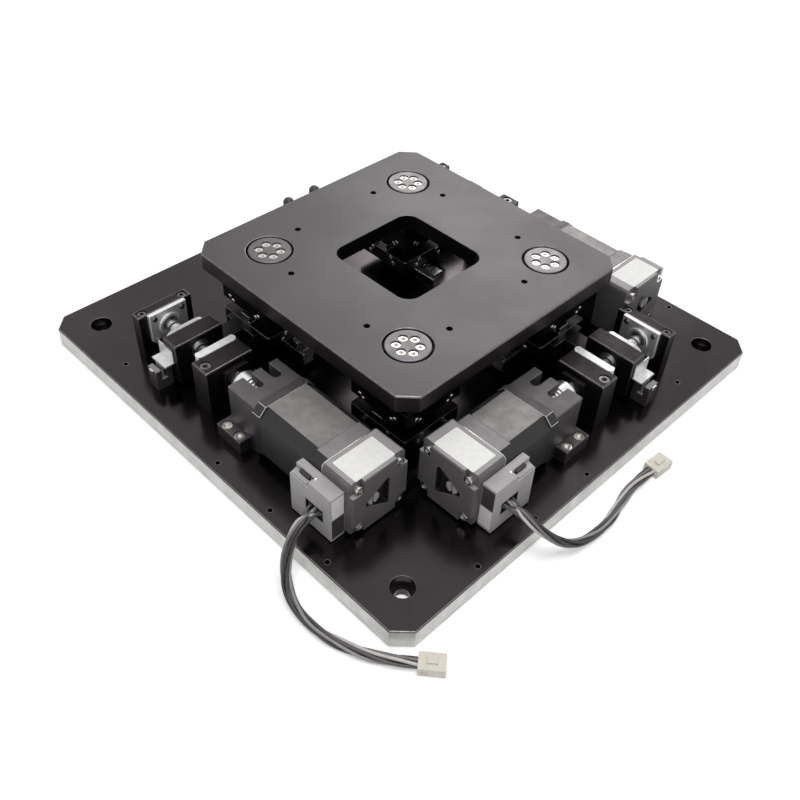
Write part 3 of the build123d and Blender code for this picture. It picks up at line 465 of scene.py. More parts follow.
def dress(mesh: BMesh, chooser: Chooser, local: Matrix) -> list[Finish]:
    """Give each solid its own spot attribute and each face its finish.

    Args:
        mesh: Mesh in the row frame. Its solids are split from each other.
        chooser: Gives each face's finish.
        local: Turn from the row frame to the frame that the chooser works in.

    Returns:
        The finishes in the order of the faces' material numbers.
    """
    mesh.faces.index_update()
    groups = islands(mesh)
    for group in groups[1:]:
        bmesh.ops.split(mesh, geom=group)
    mesh.faces.index_update()
    turn = local.to_3x3()
    spot = mesh.verts.layers.float_vector.new(SPOT)
    finishes: list[Finish] = []
    for group in islands(mesh):
        corners = {vert for face in group for vert in face.verts}
        places = {vert: local @ vert.co for vert in corners}
        low = Vector([min(place[axis] for place in places.values()) for axis in range(3)])
        high = Vector([max(place[axis] for place in places.values()) for axis in range(3)])
        middle = (low + high) / 2
        for vert, place in places.items():
            vert[spot] = place - middle
        for face in group:
            finish = chooser(Site(local @ face.calc_center_median(), turn @ face.normal, low, high))
            if finish not in finishes:
                finishes.append(finish)
            face.material_index = finishes.index(finish)
    return finishes


def finish_piece(name: str, mesh: BMesh, finishes: Sequence[Finish], body: str,
                 bevel_mm: float = 0.15, edge: Finish | None = None, edge_of: Sequence[Finish] = (),
                 smooth_angle: float = SHARP_ANGLE) -> Object:
    """Turn a dressed mesh into a piece that rides on a body.

    Args:
        name: The piece's name.
        mesh: Dressed mesh, which is freed.
        finishes: Finishes in the order of the faces' material numbers.
        body: CAD body that it rides on.
        bevel_mm: Width of the broken edges, or 0 for none.
        edge: Finish of the broken edges that face upward, if they differ.
        edge_of: Finishes whose edges get it, or none given for all.
        smooth_angle: Faces that meet at less than this are shaded as one round surface.

    Returns:
        The new object.
    """
    for face in mesh.faces:
        turns = [line.calc_face_angle(0.0) for line in face.edges]
        face.smooth = any(CURVE_ANGLE < turn < smooth_angle for turn in turns)
    if bevel_mm:
        shortest = BEVEL_SHARE * bevel_mm * MM
        sharp = [line for line in mesh.edges if line.is_convex and line.calc_length() > shortest
                 and line.calc_face_angle(0.0) > SHARP_ANGLE]
        made = bmesh.ops.bevel(mesh, geom=sharp, offset=bevel_mm * MM, offset_type="OFFSET",
                               affect="EDGES", segments=1, profile=0.5, clamp_overlap=False,
                               material=-1)
        for face in made["faces"]:
            face.smooth = False
            chosen = not edge_of or finishes[face.material_index] in edge_of
            # Only broken edges that face up get the edge finish, a painted highlight on them.
            if edge and chosen and face.normal.z > EDGE_LIFT:
                face.material_index = len(finishes)
    for line in mesh.edges:
        line.smooth = line.calc_face_angle(0.0) < smooth_angle
    data = bpy.data.meshes.new(name)
    mesh.to_mesh(data)
    mesh.free()
    for finish in finishes:
        data.materials.append(finish.build())
    if edge:
        data.materials.append(edge.build())
    piece = add_object(name, data)
    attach(piece, body)
    LOG.info("%s on %s: %d faces", name, body, len(data.polygons))
    return piece


def dress_node(node: str, chooser: Chooser, local: Matrix = Matrix.Identity(4), bevel_mm: float = 0.15,
               edge: Finish | None = None, edge_of: Sequence[Finish] = ()) -> Object:
    """Replace a CAD node by a merged copy with its real finishes.

    Args:
        node: The CAD node.
        chooser: Gives each face's finish.
        local: Turn from the row frame to the chooser's frame.
        bevel_mm: Width of the broken edges.
        edge: Finish of the broken edges that face upward, if they differ.
        edge_of: Finishes whose edges get it, or none given for all.

    Returns:
        The new object.
    """
    mesh = bmesh.new()
    mesh.from_mesh(frame["nodes"][node].data)
    bmesh.ops.remove_doubles(mesh, verts=mesh.verts, dist=MERGE_DISTANCE)
    finishes = dress(mesh, chooser, local)
    piece = finish_piece("dressed_" + node, mesh, finishes, body_of(node),
                         bevel_mm, edge, edge_of)
    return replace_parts(piece, node)


def always(finish: Finish) -> Chooser:
    """Chooser that gives every face the same finish."""
    return lambda _: finish


def by_length(axis: int, limit_mm: float, longer: Finish, shorter: Finish) -> Chooser:
    """Chooser that tells a node's solids apart by their length.

    Args:
        axis: Number of the axis that the length is taken along.
        limit_mm: Length that parts them.
        longer: Finish of the solids over the limit.
        shorter: Finish of the others.

    Returns:
        The chooser.
    """
    return lambda site: longer if site.size[axis] > limit_mm * MM else shorter


def by_rise(level: float, top: Finish, rest: Finish) -> Chooser:
    """Chooser that gives faces whose normal rises above a level their own finish."""
    return lambda site: top if site.normal.z > level else rest


def add_block(mesh: BMesh, low_mm: Sequence[float], high_mm: Sequence[float], round_mm: float = 0.0,
              axis: int = 2) -> None:
    """Add a block between two corners, its edges along one axis rounded.

    Args:
        mesh: Mesh that gets the block.
        low_mm: Lowest corner.
        high_mm: Highest corner.
        round_mm: Radius of the edges along the axis, or 0.
        axis: Number of the axis that the rounded edges run along.
    """
    low, high = Vector(low_mm) * MM, Vector(high_mm) * MM
    size = high - low
    place = Matrix.Translation((low + high) / 2) @ Matrix.Diagonal((*size, 1.0))
    verts = bmesh.ops.create_cube(mesh, size=1.0, matrix=place)["verts"]
    if round_mm:
        edges = {edge for vert in verts for edge in vert.link_edges
                 if abs((edge.verts[0].co - edge.verts[1].co)[axis]) > 0.5 * size[axis]}
        bmesh.ops.bevel(mesh, geom=list(edges), offset=round_mm * MM, offset_type="OFFSET",
                        affect="EDGES", segments=4, profile=0.5, material=-1)


def add_turned(mesh: BMesh, profile: Pairs, place: Matrix, steps: int = 24) -> None:
    """Add a turned solid from its half profile.

    Args:
        mesh: Mesh that gets the solid.
        profile: (radius, height) pairs in mm, from the axis or round a closed ring's section.
        place: Where the solid goes, its axis being its own Z.
        steps: Number of steps round the axis.
    """
    verts = [mesh.verts.new((radius * MM, 0.0, height * MM)) for radius, height in profile]
    edges = [mesh.edges.new(pair) for pair in zip(verts, verts[1:])]
    if profile[0][0] > 0 or profile[-1][0] > 0:
        edges.append(mesh.edges.new((verts[-1], verts[0])))
    before = {vert for vert in mesh.verts if vert not in verts}
    bmesh.ops.spin(mesh, geom=verts + edges, cent=(0, 0, 0), axis=(0, 0, 1), dvec=(0, 0, 0),
                   angle=math.tau, steps=steps, use_merge=True, use_duplicate=False)
    new = [vert for vert in mesh.verts if vert not in before]
    bmesh.ops.remove_doubles(mesh, verts=new, dist=MERGE_DISTANCE)
    new = [vert for vert in mesh.verts if vert not in before]
    faces = {face for vert in new for face in vert.link_faces}
    bmesh.ops.recalc_face_normals(mesh, faces=list(faces))
    bmesh.ops.transform(mesh, matrix=place, verts=new)


# Studio


@dataclass
class PhotoCamera:
    """The photograph's camera, as fitted to the plates' corners."""

    azimuth: float = 43.113
    elevation: float = 44.101
    roll: float = 3.169
    place: Triple = (0.3440, -0.3675, 0.4371)
    focal_px: float = 928.54
    frame_px: float = 800.0
    sensor_mm: float = 36.0
    near: float = 0.01

    def build(self) -> None:
        """Make the camera and set it as the scene's."""
        turn, rise, roll = (math.radians(angle) for angle in (self.azimuth, self.elevation, self.roll))
        back = Vector((math.sin(turn) * math.cos(rise), -math.cos(turn) * math.cos(rise), math.sin(rise)))
        right = Vector((0, 0, 1)).cross(back).normalized()
        up = back.cross(right)
        rolled_right = right * math.cos(roll) + up * math.sin(roll)
        rolled_up = up * math.cos(roll) - right * math.sin(roll)
        data = bpy.data.cameras.new("photo_camera")
        data.sensor_width = self.sensor_mm
        data.lens = self.focal_px / self.frame_px * self.sensor_mm
        data.clip_start = self.near
        camera = add_object("photo_camera", data)
        camera.matrix_world = Matrix.Translation(self.place) @ axes(rolled_right, rolled_up, back)
        bpy.context.scene.camera = camera


@dataclass(frozen=True)
class SoftBox:
    """One square studio light that points at the object."""

    name: str
    place: Triple
    side: float
    watts: float

    def build(self) -> None:
        """Make the light."""
        data = bpy.data.lights.new(self.name, "AREA")
        data.shape = "SQUARE"
        data.size = self.side
        data.energy = self.watts
        add_object(self.name, data).matrix_world = facing(self.place, self.place)


@dataclass
class Studio:
    """Pale floor, white surroundings and soft boxes."""

    floor_half: float = 3.0
    floor_colour: str = "f2f2f2"
    floor_glow: float = 0.35
    ambient: float = 0.3
    lights: tuple[SoftBox, ...] = (
        SoftBox("key_light", (-0.75, 1.06, 0.92), 0.6, 5.0),
        SoftBox("top_light", (0.25, -0.15, 1.7), 1.0, 16.0),
        SoftBox("front_light", (0.8, -1.1, 0.8), 0.8, 1.6),
    )

    def build(self) -> None:
        """Make the floor, the world and the lights, and set how the picture is shown."""
        bpy.context.scene.view_settings.view_transform = "Standard"
        self.build_world()
        self.build_floor()
        for light in self.lights:
            light.build()

    def seen(self, tree: NodeTree) -> NodeSocket:
        """Add nodes that give 1 for rays that show a background, and 0 for light.

        Args:
            tree: Node tree of the world or the floor.

        Returns:
            Socket with the value.
        """
        rays = add_node(tree, "ShaderNodeLightPath").outputs
        level = rays["Is Camera Ray"]
        for ray in ("Is Glossy Ray", "Is Transmission Ray"):
            larger = add_node(tree, "ShaderNodeMath", {"operation": "MAXIMUM"}, {0: level, 1: rays[ray]})
            level = larger.outputs["Value"]
        return level

    def build_world(self) -> None:
        """White to the eye and in reflections, and a plain soft level as light."""
        world = bpy.data.worlds.new("studio_white")
        tree = empty_nodes(world)
        level = add_node(tree, "ShaderNodeMapRange", inputs={
            "Value": self.seen(tree), "To Min": self.ambient, "To Max": 1.0})
        glow = add_node(tree, "ShaderNodeBackground", inputs={
            "Color": (1.0, 1.0, 1.0, 1.0), "Strength": level.outputs["Result"]})
        add_node(tree, "ShaderNodeOutputWorld", inputs={"Surface": glow.outputs["Background"]})
        bpy.context.scene.world = world

    def build_floor(self) -> None:
        """Matt white floor that keeps the object's shadow."""
        material = bpy.data.materials.new("matt_white_floor")
        tree = empty_nodes(material)
        paint = add_node(tree, "ShaderNodeBsdfDiffuse", inputs={"Color": linear(self.floor_colour)})
        level = add_node(tree, "ShaderNodeMath", {"operation": "MULTIPLY"}, {
            0: self.seen(tree), 1: self.floor_glow})
        glow = add_node(tree, "ShaderNodeEmission", inputs={"Strength": level.outputs["Value"]})
        both = add_node(tree, "ShaderNodeAddShader", inputs={
            0: paint.outputs["BSDF"], 1: glow.outputs["Emission"]})
        add_node(tree, "ShaderNodeOutputMaterial", inputs={"Surface": both.outputs["Shader"]})
        mesh = bmesh.new()
        bmesh.ops.create_grid(mesh, x_segments=1, y_segments=1, size=self.floor_half)
        data = bpy.data.meshes.new("floor")
        mesh.to_mesh(data)
        mesh.free()
        data.materials.append(material)
        add_object("floor", data)


# Leads


# Points that steer each bundle, from its connector box to its plug on the table.
LEAD_ROUTES_MM = {
    Drive.X1: (
        (88.0, -154.25, 31.0), (88.0, -167.0, 31.0), (91.0, -180.0, 23.5), (98.5, -190.0, 12.5),
        (109.5, -195.5, 5.0), (124.0, -198.0, 3.4), (140.0, -196.5, 3.4), (156.0, -191.0, 3.4),
        (171.0, -183.0, 3.4), (184.0, -172.0, 3.4)),
    Drive.Y: (
        (154.25, -74.7, 31.0), (167.0, -74.7, 31.0), (180.0, -71.5, 23.5), (189.5, -62.5, 12.5),
        (194.5, -50.0, 5.0), (197.0, -34.0, 3.4), (196.0, -18.0, 3.4), (192.0, -2.0, 3.4),
        (189.5, 14.5, 3.4), (190.5, 31.0, 3.4)),
}


@dataclass
class LeadBundle:
    """A short bundle of motor leads that leaves a connector box and ends in a plug."""

    drive: Drive
    points_mm: tuple[Triple, ...]
    radius_mm: float = 3.25
    lead_radius_mm: float = 0.95
    lead_circle_mm: float = 2.15
    twist_mm: float = 150.0
    lead_count: int = 6
    sides: int = 10
    fan_mm: float = 16.0
    fan_pitch_mm: Pair = (4.0, 2.9)
    wander: float = 0.16
    wander_mm: float = 41.0
    wander_step: float = 0.37
    plug_mm: Triple = (15.0, 11.0, 6.8)
    plug_wall_mm: float = 1.2
    mouth_mm: float = 4.0
    latch_mm: Triple = (6.0, 4.0, 1.4)
    ribs_mm: Pair = (2.2, 4.4)
    rib_mm: float = 0.8
    pin_mm: Triple = (2.4, 1.4, 1.0)
    pin_columns_mm: Triple = (-3.0, 0.0, 3.0)
    pin_rows_mm: Pair = (-1.4, 1.4)

    def build(self) -> None:
        line = self.route()
        plug = self.build_plug()
        name = "cable_" + self.drive.value
        mesh = bmesh.new()
        finishes = list(LEAD_FINISHES)
        for index in range(self.lead_count + 1):
            self.add_lead(mesh, line, index, index % len(finishes))
        bundle = finish_piece("leads_" + self.drive.value, mesh, finishes, body_of(name),
                              0.0, smooth_angle=LEAD_ANGLE)
        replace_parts(bundle, name)

    def route(self) -> list[Vector]:
        """Points along the bundle's smooth line."""
        data = bpy.data.curves.new("route_" + self.drive.value, "CURVE")
        data.dimensions = "3D"
        data.resolution_u = 12
        spline = data.splines.new("NURBS")
        spline.points.add(len(self.points_mm) - 1)
        for point, place in zip(spline.points, self.points_mm):
            point.co = (*(value * MM for value in place), 1.0)
        spline.order_u = 3
        spline.use_endpoint_u = True
        curve = bpy.data.objects.new("route_" + self.drive.value, data)
        line = [vert.co.copy() for vert in bpy.data.meshes.new_from_object(curve).vertices]
        bpy.data.objects.remove(curve)
        return line

    def add_lead(self, mesh: BMesh, line: list[Vector], index: int, finish: int) -> None:
        """Add one lead, swept along the line at its own place in the twisted bundle.

        Args:
            mesh: Mesh that gets the lead.
            line: The bundle's line.
            index: Number of the lead. The last one runs in the middle.
            finish: Material number.
        """
        reach = 0.0 if index == self.lead_count else self.lead_circle_mm * MM
        column, row = index % 3 - 1, (index // 3) % 2 - 0.5
        fanned = Vector((column * self.fan_pitch_mm[0], row * self.fan_pitch_mm[1])) * MM
        travelled, rings = 0.0, []
        side = Vector((0, 0, 1)).cross(line[1] - line[0]).normalized()
        for number, point in enumerate(line):
            ahead = line[min(number + 1, len(line) - 1)] - line[max(number - 1, 0)]
            ahead.normalize()
            side = (side - ahead * side.dot(ahead)).normalized()
            over = ahead.cross(side)
            if number:
                travelled += (point - line[number - 1]).length
            wave = math.sin(math.tau * (travelled / (self.wander_mm * MM) + index * self.wander_step))
            angle = math.tau * (index / self.lead_count + travelled / (self.twist_mm * MM))
            angle += self.wander * wave
            twisted = Vector((math.cos(angle), math.sin(angle))) * reach * (1 + self.wander * wave)
            away = max(0.0, 1 - travelled / (self.fan_mm * MM))
            away *= away * (3 - 2 * away)
            spread = fanned * away + twisted * (1 - away)
            middle = point + side * spread.x + over * spread.y
            place = Matrix.Translation(middle) @ axes(side, over, ahead)
            ring = bmesh.ops.create_circle(mesh, cap_ends=number in (0, len(line) - 1),
                                           radius=self.lead_radius_mm * MM, segments=self.sides,
                                           matrix=place)["verts"]
            rings.append(ring)
        for low, high in zip(rings, rings[1:]):
            edges = [edge for ring in (low, high) for edge in {e for v in ring for e in v.link_edges}
                     if all(v in ring for v in edge.verts)]
            bmesh.ops.bridge_loops(mesh, edges=edges)
        faces = {face for ring in rings for vert in ring for face in vert.link_faces}
        bmesh.ops.recalc_face_normals(mesh, faces=list(faces))
        for face in faces:
            face.material_index = finish

    def build_plug(self) -> Object:
        """Make the nylon plug at the end of the line."""
        end = Vector(self.points_mm[-1]) * MM
        heading = (end - Vector(self.points_mm[-2]) * MM).normalized()
        up = Vector((0, 0, 1))
        place = Matrix.Translation(end) @ axes(heading, up.cross(heading), up)
        long, wide, high = self.plug_mm
        mesh = bmesh.new()
        add_block(mesh, (0, -wide / 2, -high / 2), (long, wide / 2, high / 2), 0.8, 0)
        front = max(mesh.faces, key=lambda face: face.calc_center_median().x)
        bmesh.ops.inset_region(mesh, faces=[front], thickness=self.plug_wall_mm * MM)
        bmesh.ops.translate(mesh, verts=front.verts, vec=(-self.mouth_mm * MM, 0, 0))
        length, width, height = self.latch_mm
        add_block(mesh, ((long - length) / 2, -width / 2, high / 2 - 0.2),
                  ((long + length) / 2, width / 2, high / 2 + height), 0.3, 1)
        for rib in self.ribs_mm:
            add_block(mesh, (rib, -wide / 2, 1 - high / 2), (rib + self.rib_mm, 0.1 - wide / 2, high / 2 - 1))
        floor, size = long - self.mouth_mm, Vector(self.pin_mm)
        for column in self.pin_columns_mm:
            for row in self.pin_rows_mm:
                corner = Vector((floor + 0.1, column - size.y / 2, row - size.z / 2))
                add_block(mesh, corner, corner + size)
        bmesh.ops.transform(mesh, matrix=place, verts=mesh.verts)
        finishes = dress(mesh, lambda site: PIN_TIN if site.low.x > floor * MM else PLUG_NYLON,
                         place.inverted())
        name = "cable_plug_" + self.drive.value
        plug = finish_piece("plug_" + self.drive.value, mesh, finishes, body_of(name), 0.12)
        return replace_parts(plug, name)


# Plates and modules


@dataclass
class Plates:
    """Base plate and top plate."""

    base_half: float = 175 * MM
    edge_reach: float = 4 * MM
    base_corner: float = 10 * MM
    clip_taps_mm: Pairs = ((-103, 33), (10, 41.5), (60, 41.5), (110, 41.5))
    tap_rim_mm: Pairs = ((1.65, -0.4), (1.85, -0.02), (1.85, 0.02), (1.65, 0.02))

    def build(self) -> None:
        """Dress both plates and add the bright rims of the tapped holes."""
        dress_node("base_plate", self.base_finish, bevel_mm=0.25, edge=WORN_EDGE_AND_HIGHLIGHT)
        # Faces that don't point up get the top plate's painted shade.
        dress_node("top_plate", by_rise(0.5, TOP_GREY, TOP_SHADED_SIDE), bevel_mm=0.3, edge=WORN_EDGE_AND_HIGHLIGHT)
        mesh = bmesh.new()
        for drive in Drive:
            for along, across in self.clip_taps_mm:
                place = drive.matrix @ Vector((along * MM, AXIS_T + across * MM, BASE_TOP))
                add_turned(mesh, self.tap_rim_mm, Matrix.Translation(place))
        finishes = dress(mesh, always(THREAD_RIM), Matrix.Identity(4))
        finish_piece("clip_tap_rims", mesh, finishes, "base", 0.0)

    def base_finish(self, site: Site) -> Finish:
        """Bare metal on the plate's outer side faces, black elsewhere."""
        along_x, along_y = abs(site.at.x), abs(site.at.y)
        straight = max(along_x, along_y) > self.base_half - self.edge_reach
        cut = along_x + along_y > 2 * self.base_half - self.base_corner - self.edge_reach
        return MILLED_EDGE if abs(site.normal.z) < 0.5 and (straight or cut) else BASE_BLACK


@dataclass
class CornerModule:
    """One corner: lower guide, carriage plate, cross guide, hub plate, bearing and cap."""

    corner: Corner
    half: float = 24 * MM
    plate_size: float = 45.6 * MM
    runner_cap_length: float = 5.5 * MM
    boss_height: float = 15 * MM
    round_within: float = 0.5 * MM
    hub_screws_mm: Pairs = ((-15, 34), (-12, 31.8), (15, 34), (12, 31.8))
    plate_screws_mm: Pairs = ((-12, 14), (-9.5, 18), (12, 14), (9.5, 18))
    screw_section_mm: Pairs = (
        (0, -1), (1.5, -1), (1.5, 0.4), (1.2, 0.7), (0.75, 0.7), (0.75, -0.2), (0, -0.2))

    def build(self) -> None:
        """Dress the module's nodes and add the screws in its side faces."""
        local = self.corner.matrix.inverted()
        letter = self.corner.letter
        dress_node("carriage_plate_" + letter, always(MODULE_BLACK), local, 0.2, WORN_EDGE_AND_HIGHLIGHT)
        dress_node("lower_guide_" + letter, self.guide_finish, local, 0.1)
        dress_node("hub_" + letter, self.guide_finish, local, 0.2)
        dress_node("bearing_cap_" + letter, by_length(0, 20, CAP_GREY, FASTENER), local)
        self.side_screws("carriage_plate_" + letter, self.plate_screws_mm)
        self.side_screws("hub_" + letter, self.hub_screws_mm)

    def guide_finish(self, site: Site) -> Finish:
        """Finish of a runner, its end caps, a rail, the hub plate or the inner ring."""
        size = site.size
        if min(size.x, size.y) < self.runner_cap_length:
            return DARK_NYLON
        if min(size.x, size.y) > self.plate_size:
            return MODULE_BLACK
        if abs(size.x - size.y) < self.round_within:
            return MODULE_BLACK if size.z > self.boss_height else RING_STEEL
        return BEARING_STEEL

    def side_screws(self, node: str, places_mm: Pairs) -> None:
        """Add small socket screws in all four side faces of a plate.

        Args:
            node: The plate's node, whose body they ride on.
            places_mm: Places along a face and up from the base plate's top.
        """
        mesh = bmesh.new()
        for quarter in range(4):
            turn = Matrix.Rotation(quarter * math.pi / 2, 4, "Z")
            for along, up in places_mm:
                place = Vector((self.half, along * MM, BASE_TOP + up * MM))
                spot = self.corner.matrix @ turn @ facing((1, 0, 0), place)
                add_turned(mesh, self.screw_section_mm, spot, 12)
        finishes = dress(mesh, always(FASTENER), self.corner.matrix.inverted())
        finish_piece("side_screws_" + node, mesh, finishes, body_of(node), 0.0)


@dataclass
class Guides:
    """Fixed rails, bearing housings, switches and the screws that hold the drives down."""

    drives_from: float = 100 * MM
    block_level: float = BASE_TOP + 25 * MM
    post_height: float = 30 * MM

    def build(self) -> None:
        """Dress the shared nodes."""
        dress_node("guide_rails", always(BEARING_STEEL))
        dress_node("bearing_housings", by_length(0, 46, MODULE_BLACK, RING_STEEL), bevel_mm=0.2,
                   edge=WORN_EDGE_AND_HIGHLIGHT)
        dress_node("fixed_screws", self.screw_finish, bevel_mm=0.1)
        dress_node("limit_switches", self.switch_finish, bevel_mm=0.25)

    def switch_finish(self, site: Site) -> Finish:
        """Dark posts, and black fork sensors whose tops are painted grey as lit."""
        # Upward faces of the low sensors get the painted light.
        return SENSOR_LIT_TOP if site.size.z < self.post_height and site.normal.z > 0.5 else DARK_NYLON

    def screw_finish(self, site: Site) -> Finish:
        """Black screws in the drives' upright blocks, bright ones elsewhere."""
        upright = site.size.z > max(site.size.x, site.size.y) and site.high.z > self.block_level
        outside = max(abs(site.at.x), abs(site.at.y)) > self.drives_from
        return BLACK_SCREW if upright and outside else FASTENER


# Drives


@dataclass
class DriveLine:
    """One drive: motor, bracket, coupling, ball screw, bearings, nut and sensor."""

    drive: Drive
    motor_s: float = 21.5 * MM
    flange_length: float = 7 * MM
    rear_length: float = 10.5 * MM
    cover_length: float = 25.1 * MM
    cover_half: float = 21.25 * MM
    wall_level: float = 0.9
    dish_depth: float = 4 * MM
    dish_reach: float = 14 * MM
    dish_lip: float = 0.2 * MM
    dial_out: float = 4.5 * MM
    dial_radius: float = 4.3 * MM
    nut_longest: float = 30 * MM
    nut_from: float = -24 * MM
    flag_longest: float = 16 * MM
    flag_from: float = 18 * MM
    label_mm: Triple = (19.0, 30.0, 0.12)
    label_side_mm: float = 1.5
    gasket_mm: Pair = (0.5, 21.08)
    box_back_mm: float = 6.6
    box_length_mm: float = 34.5
    box_sides_mm: Pair = (21.25, 31.5)
    box_top_mm: float = 14.0
    box_step_mm: Pair = (5.0, 3.5)
    latch_mm: Block = ((5.0, -0.3, -0.5), (13.0, 1.9, 2.4))
    lever_mm: Block = ((1.5, 1.9, -1.8), (14.0, 4.4, 0.5))
    pin_place_mm: Triple = (17.0, 0.4, 3.5)
    pin_section_mm: Pairs = ((0, -0.5), (0.8, -0.5), (0.8, 0.2), (0, 0.35))
    pin_widest: float = 2 * MM
    lever_deeper: float = 2.4 * MM
    lever_lower: float = 3 * MM
    socket_mm: Triple = (7.0, 4.5, 5.0)
    socket_place_mm: Pair = (14.0, -5.5)
    inner_plug_mm: Pair = (0.6, 1.4)
    sticker_mm: Triple = (0.7, 0.2, 0.1)
    sticker_levels_mm: Triple = (12.5, -3.5, -19.5)
    thread_span_mm: Pair = (-94.5, -45.2)
    thread_lead_mm: float = 5.0
    thread_section_mm: Pairs = ((3.8, -0.9), (4.05, -0.8), (4.05, 0.8), (3.8, 0.9))
    thread_steps: int = 20
    end_plate_mm: float = -94.5
    end_screws_mm: Pairs = ((-10.6, 9.0), (10.6, 9.0), (-10.0, -9.0), (10.0, -9.0))
    end_screw_section_mm: Pairs = (
        (0, -0.5), (1.9, -0.5), (1.9, 0.9), (1.6, 1.2), (0.9, 1.2), (0.9, 0.3), (0, 0.3))
    end_ring_section_mm: Pairs = ((6, -0.4), (8.2, -0.4), (8.2, 0.6), (7.9, 0.9), (6.3, 0.9), (6, 0.6))
    sensor_tab_mm: Block = ((-73.0, 30.5, -9.5), (-69.0, 32.3, -6.9))

    @property
    def matrix(self) -> Matrix:
        """Turn from the drive frame, with the screw's axis at its origin, to the row frame."""
        return self.drive.matrix @ Matrix.Translation((0, AXIS_T, AXIS_Z))

    @property
    def stator_length(self) -> float:
        """Length of this motor's stator."""
        return (31.2 if self.drive is Drive.Y else 44.5) * MM

    @property
    def cover_start(self) -> float:
        """Place along the screw where the encoder cover starts."""
        return self.motor_s + self.flange_length + self.stator_length + self.rear_length

    @property
    def cover_end(self) -> float:
        """Place along the screw of the encoder cover's rear face."""
        return self.cover_start + self.cover_length

    def dress(self, stem: str, chooser: Chooser, bevel_mm: float = 0.15, edge: Finish | None = None,
              edge_of: Sequence[Finish] = ()) -> None:
        """Dress one of this drive's nodes in the drive's own frame."""
        dress_node(stem + self.drive.value, chooser, self.matrix.inverted(), bevel_mm, edge, edge_of)

    def build(self) -> None:
        """Dress the drive's nodes and add its small parts."""
        # The front flange's upward broken edges get a painted highlight line.
        self.dress("motor_body_", self.motor_finish, 0.25, FLANGE_EDGE_HIGHLIGHT, (CAST_FLANGE, FLANGE_SHADED_WALL))
        self.dress("encoder_cover_", self.cover_finish, 0.3)
        self.dress("connector_box_", self.box_finish, 0.3)
        # Bracket tops get painted light, lighter than the walls.
        self.dress("motor_bracket_", by_rise(self.wall_level, BRACKET_LIT_TOP, BRACKET_GREY), 0.25, WORN_EDGE_AND_HIGHLIGHT)
        self.dress("coupling_", by_length(1, 10, COUPLING_BRIGHT, SHAFT_STEEL))
        self.dress("ball_screw_", self.screw_finish)
        for stem in ("bearing_block_", "end_block_"):
            self.dress(stem, by_length(1, 22, BLOCK_BLACK, SHAFT_STEEL), 0.25, WORN_EDGE_AND_HIGHLIGHT)
        self.dress("retainer_plates_", by_length(1, 20, BRIGHT_PLATE, BLOCK_BLACK), 0.3)
        self.dress("nut_bracket_", self.bracket_finish, 0.2, WORN_EDGE_AND_HIGHLIGHT)
        self.dress("ball_nut_", always(NUT_STEEL))
        if self.drive is Drive.X2:
            self.dress("lock_nut_", always(NUT_STEEL))
        self.build_labels()
        self.build_box_details()
        self.build_thread()
        self.build_end_screws()
        self.build_sensor_tab()

    def motor_finish(self, site: Site) -> Finish:
        """Cast front flange, laminated stator and painted rear flange, with painted shade on the walls."""
        middle = (site.low.x + site.high.x) / 2
        front = middle < self.motor_s + self.flange_length
        # Upright and cut faces get painted shade.
        if site.normal.z < self.wall_level:
            return FLANGE_SHADED_WALL if front else MOTOR_SHADED_WALL
        if front:
            return CAST_FLANGE
        return REAR_FLANGE if middle > self.cover_start - self.rear_length else STATOR_STACK

    def cover_finish(self, site: Site) -> Finish:
        """Grey cover, dark inside its dish, with a grey dial and painted shade on its walls."""
        at, back = site.at, site.high.x
        on_dial = math.hypot(at.y - self.dial_out, at.z) < self.dial_radius
        if on_dial and at.x > back - self.dish_depth and site.normal.x > -0.5:
            return DIAL_GREY
        in_dish = math.hypot(at.y, at.z) < self.dish_reach
        if in_dish and back - 1.1 * self.dish_depth < at.x < back - self.dish_lip:
            return DISH_DARK
        # Faces that don't face up get the cover's painted shade.
        return COVER_GREY if site.normal.z > self.wall_level else COVER_SHADED_WALL

    def screw_finish(self, site: Site) -> Finish:
        """Rolled shaft with a lock nut at its coupling end."""
        short = site.size.x <= self.nut_longest
        return NUT_STEEL if short and site.low.x > self.nut_from else SHAFT_STEEL

    def bracket_finish(self, site: Site) -> Finish:
        """Black nut bracket with a bright flag."""
        short = site.size.x < self.flag_longest
        return BRIGHT_PLATE if short and site.low.y > self.flag_from else BLOCK_BLACK

    def box_finish(self, site: Site) -> Finish:
        """Grey housing, with painted shade inside its lead socket."""
        back, level = self.socket_place_mm
        wide, tall, _ = self.socket_mm
        across = abs(site.at.x - site.high.x + back * MM) < (wide + 0.1) * MM
        upright = abs(site.at.z - level * MM) < (tall + 0.1) * MM
        sunk = site.low.y + MM < site.at.y < site.high.y - 0.1 * MM
        # Faces sunk in the socket get painted shade.
        return BLACK_PLUG_AND_SOCKET_SHADE if across and upright and sunk else BOX_GREY

    def add_piece(self, stem: str, mesh: BMesh, chooser: Chooser, node: str,
                  bevel_mm: float = 0.0) -> None:
        """Finish a mesh drawn in the drive's frame as a piece that rides on one of its nodes.

        Args:
            stem: Start of the piece's name.
            mesh: The mesh, which is freed.
            chooser: Gives each face's finish.
            node: Start of the name of the node that it rides on.
            bevel_mm: Width of the broken edges, or 0 for none.
        """
        bmesh.ops.transform(mesh, matrix=self.matrix, verts=mesh.verts)
        bmesh.ops.recalc_face_normals(mesh, faces=mesh.faces)
        finishes = dress(mesh, chooser, self.matrix.inverted())
        body = body_of(node + self.drive.value)
        finish_piece(stem + self.drive.value, mesh, finishes, body, bevel_mm)

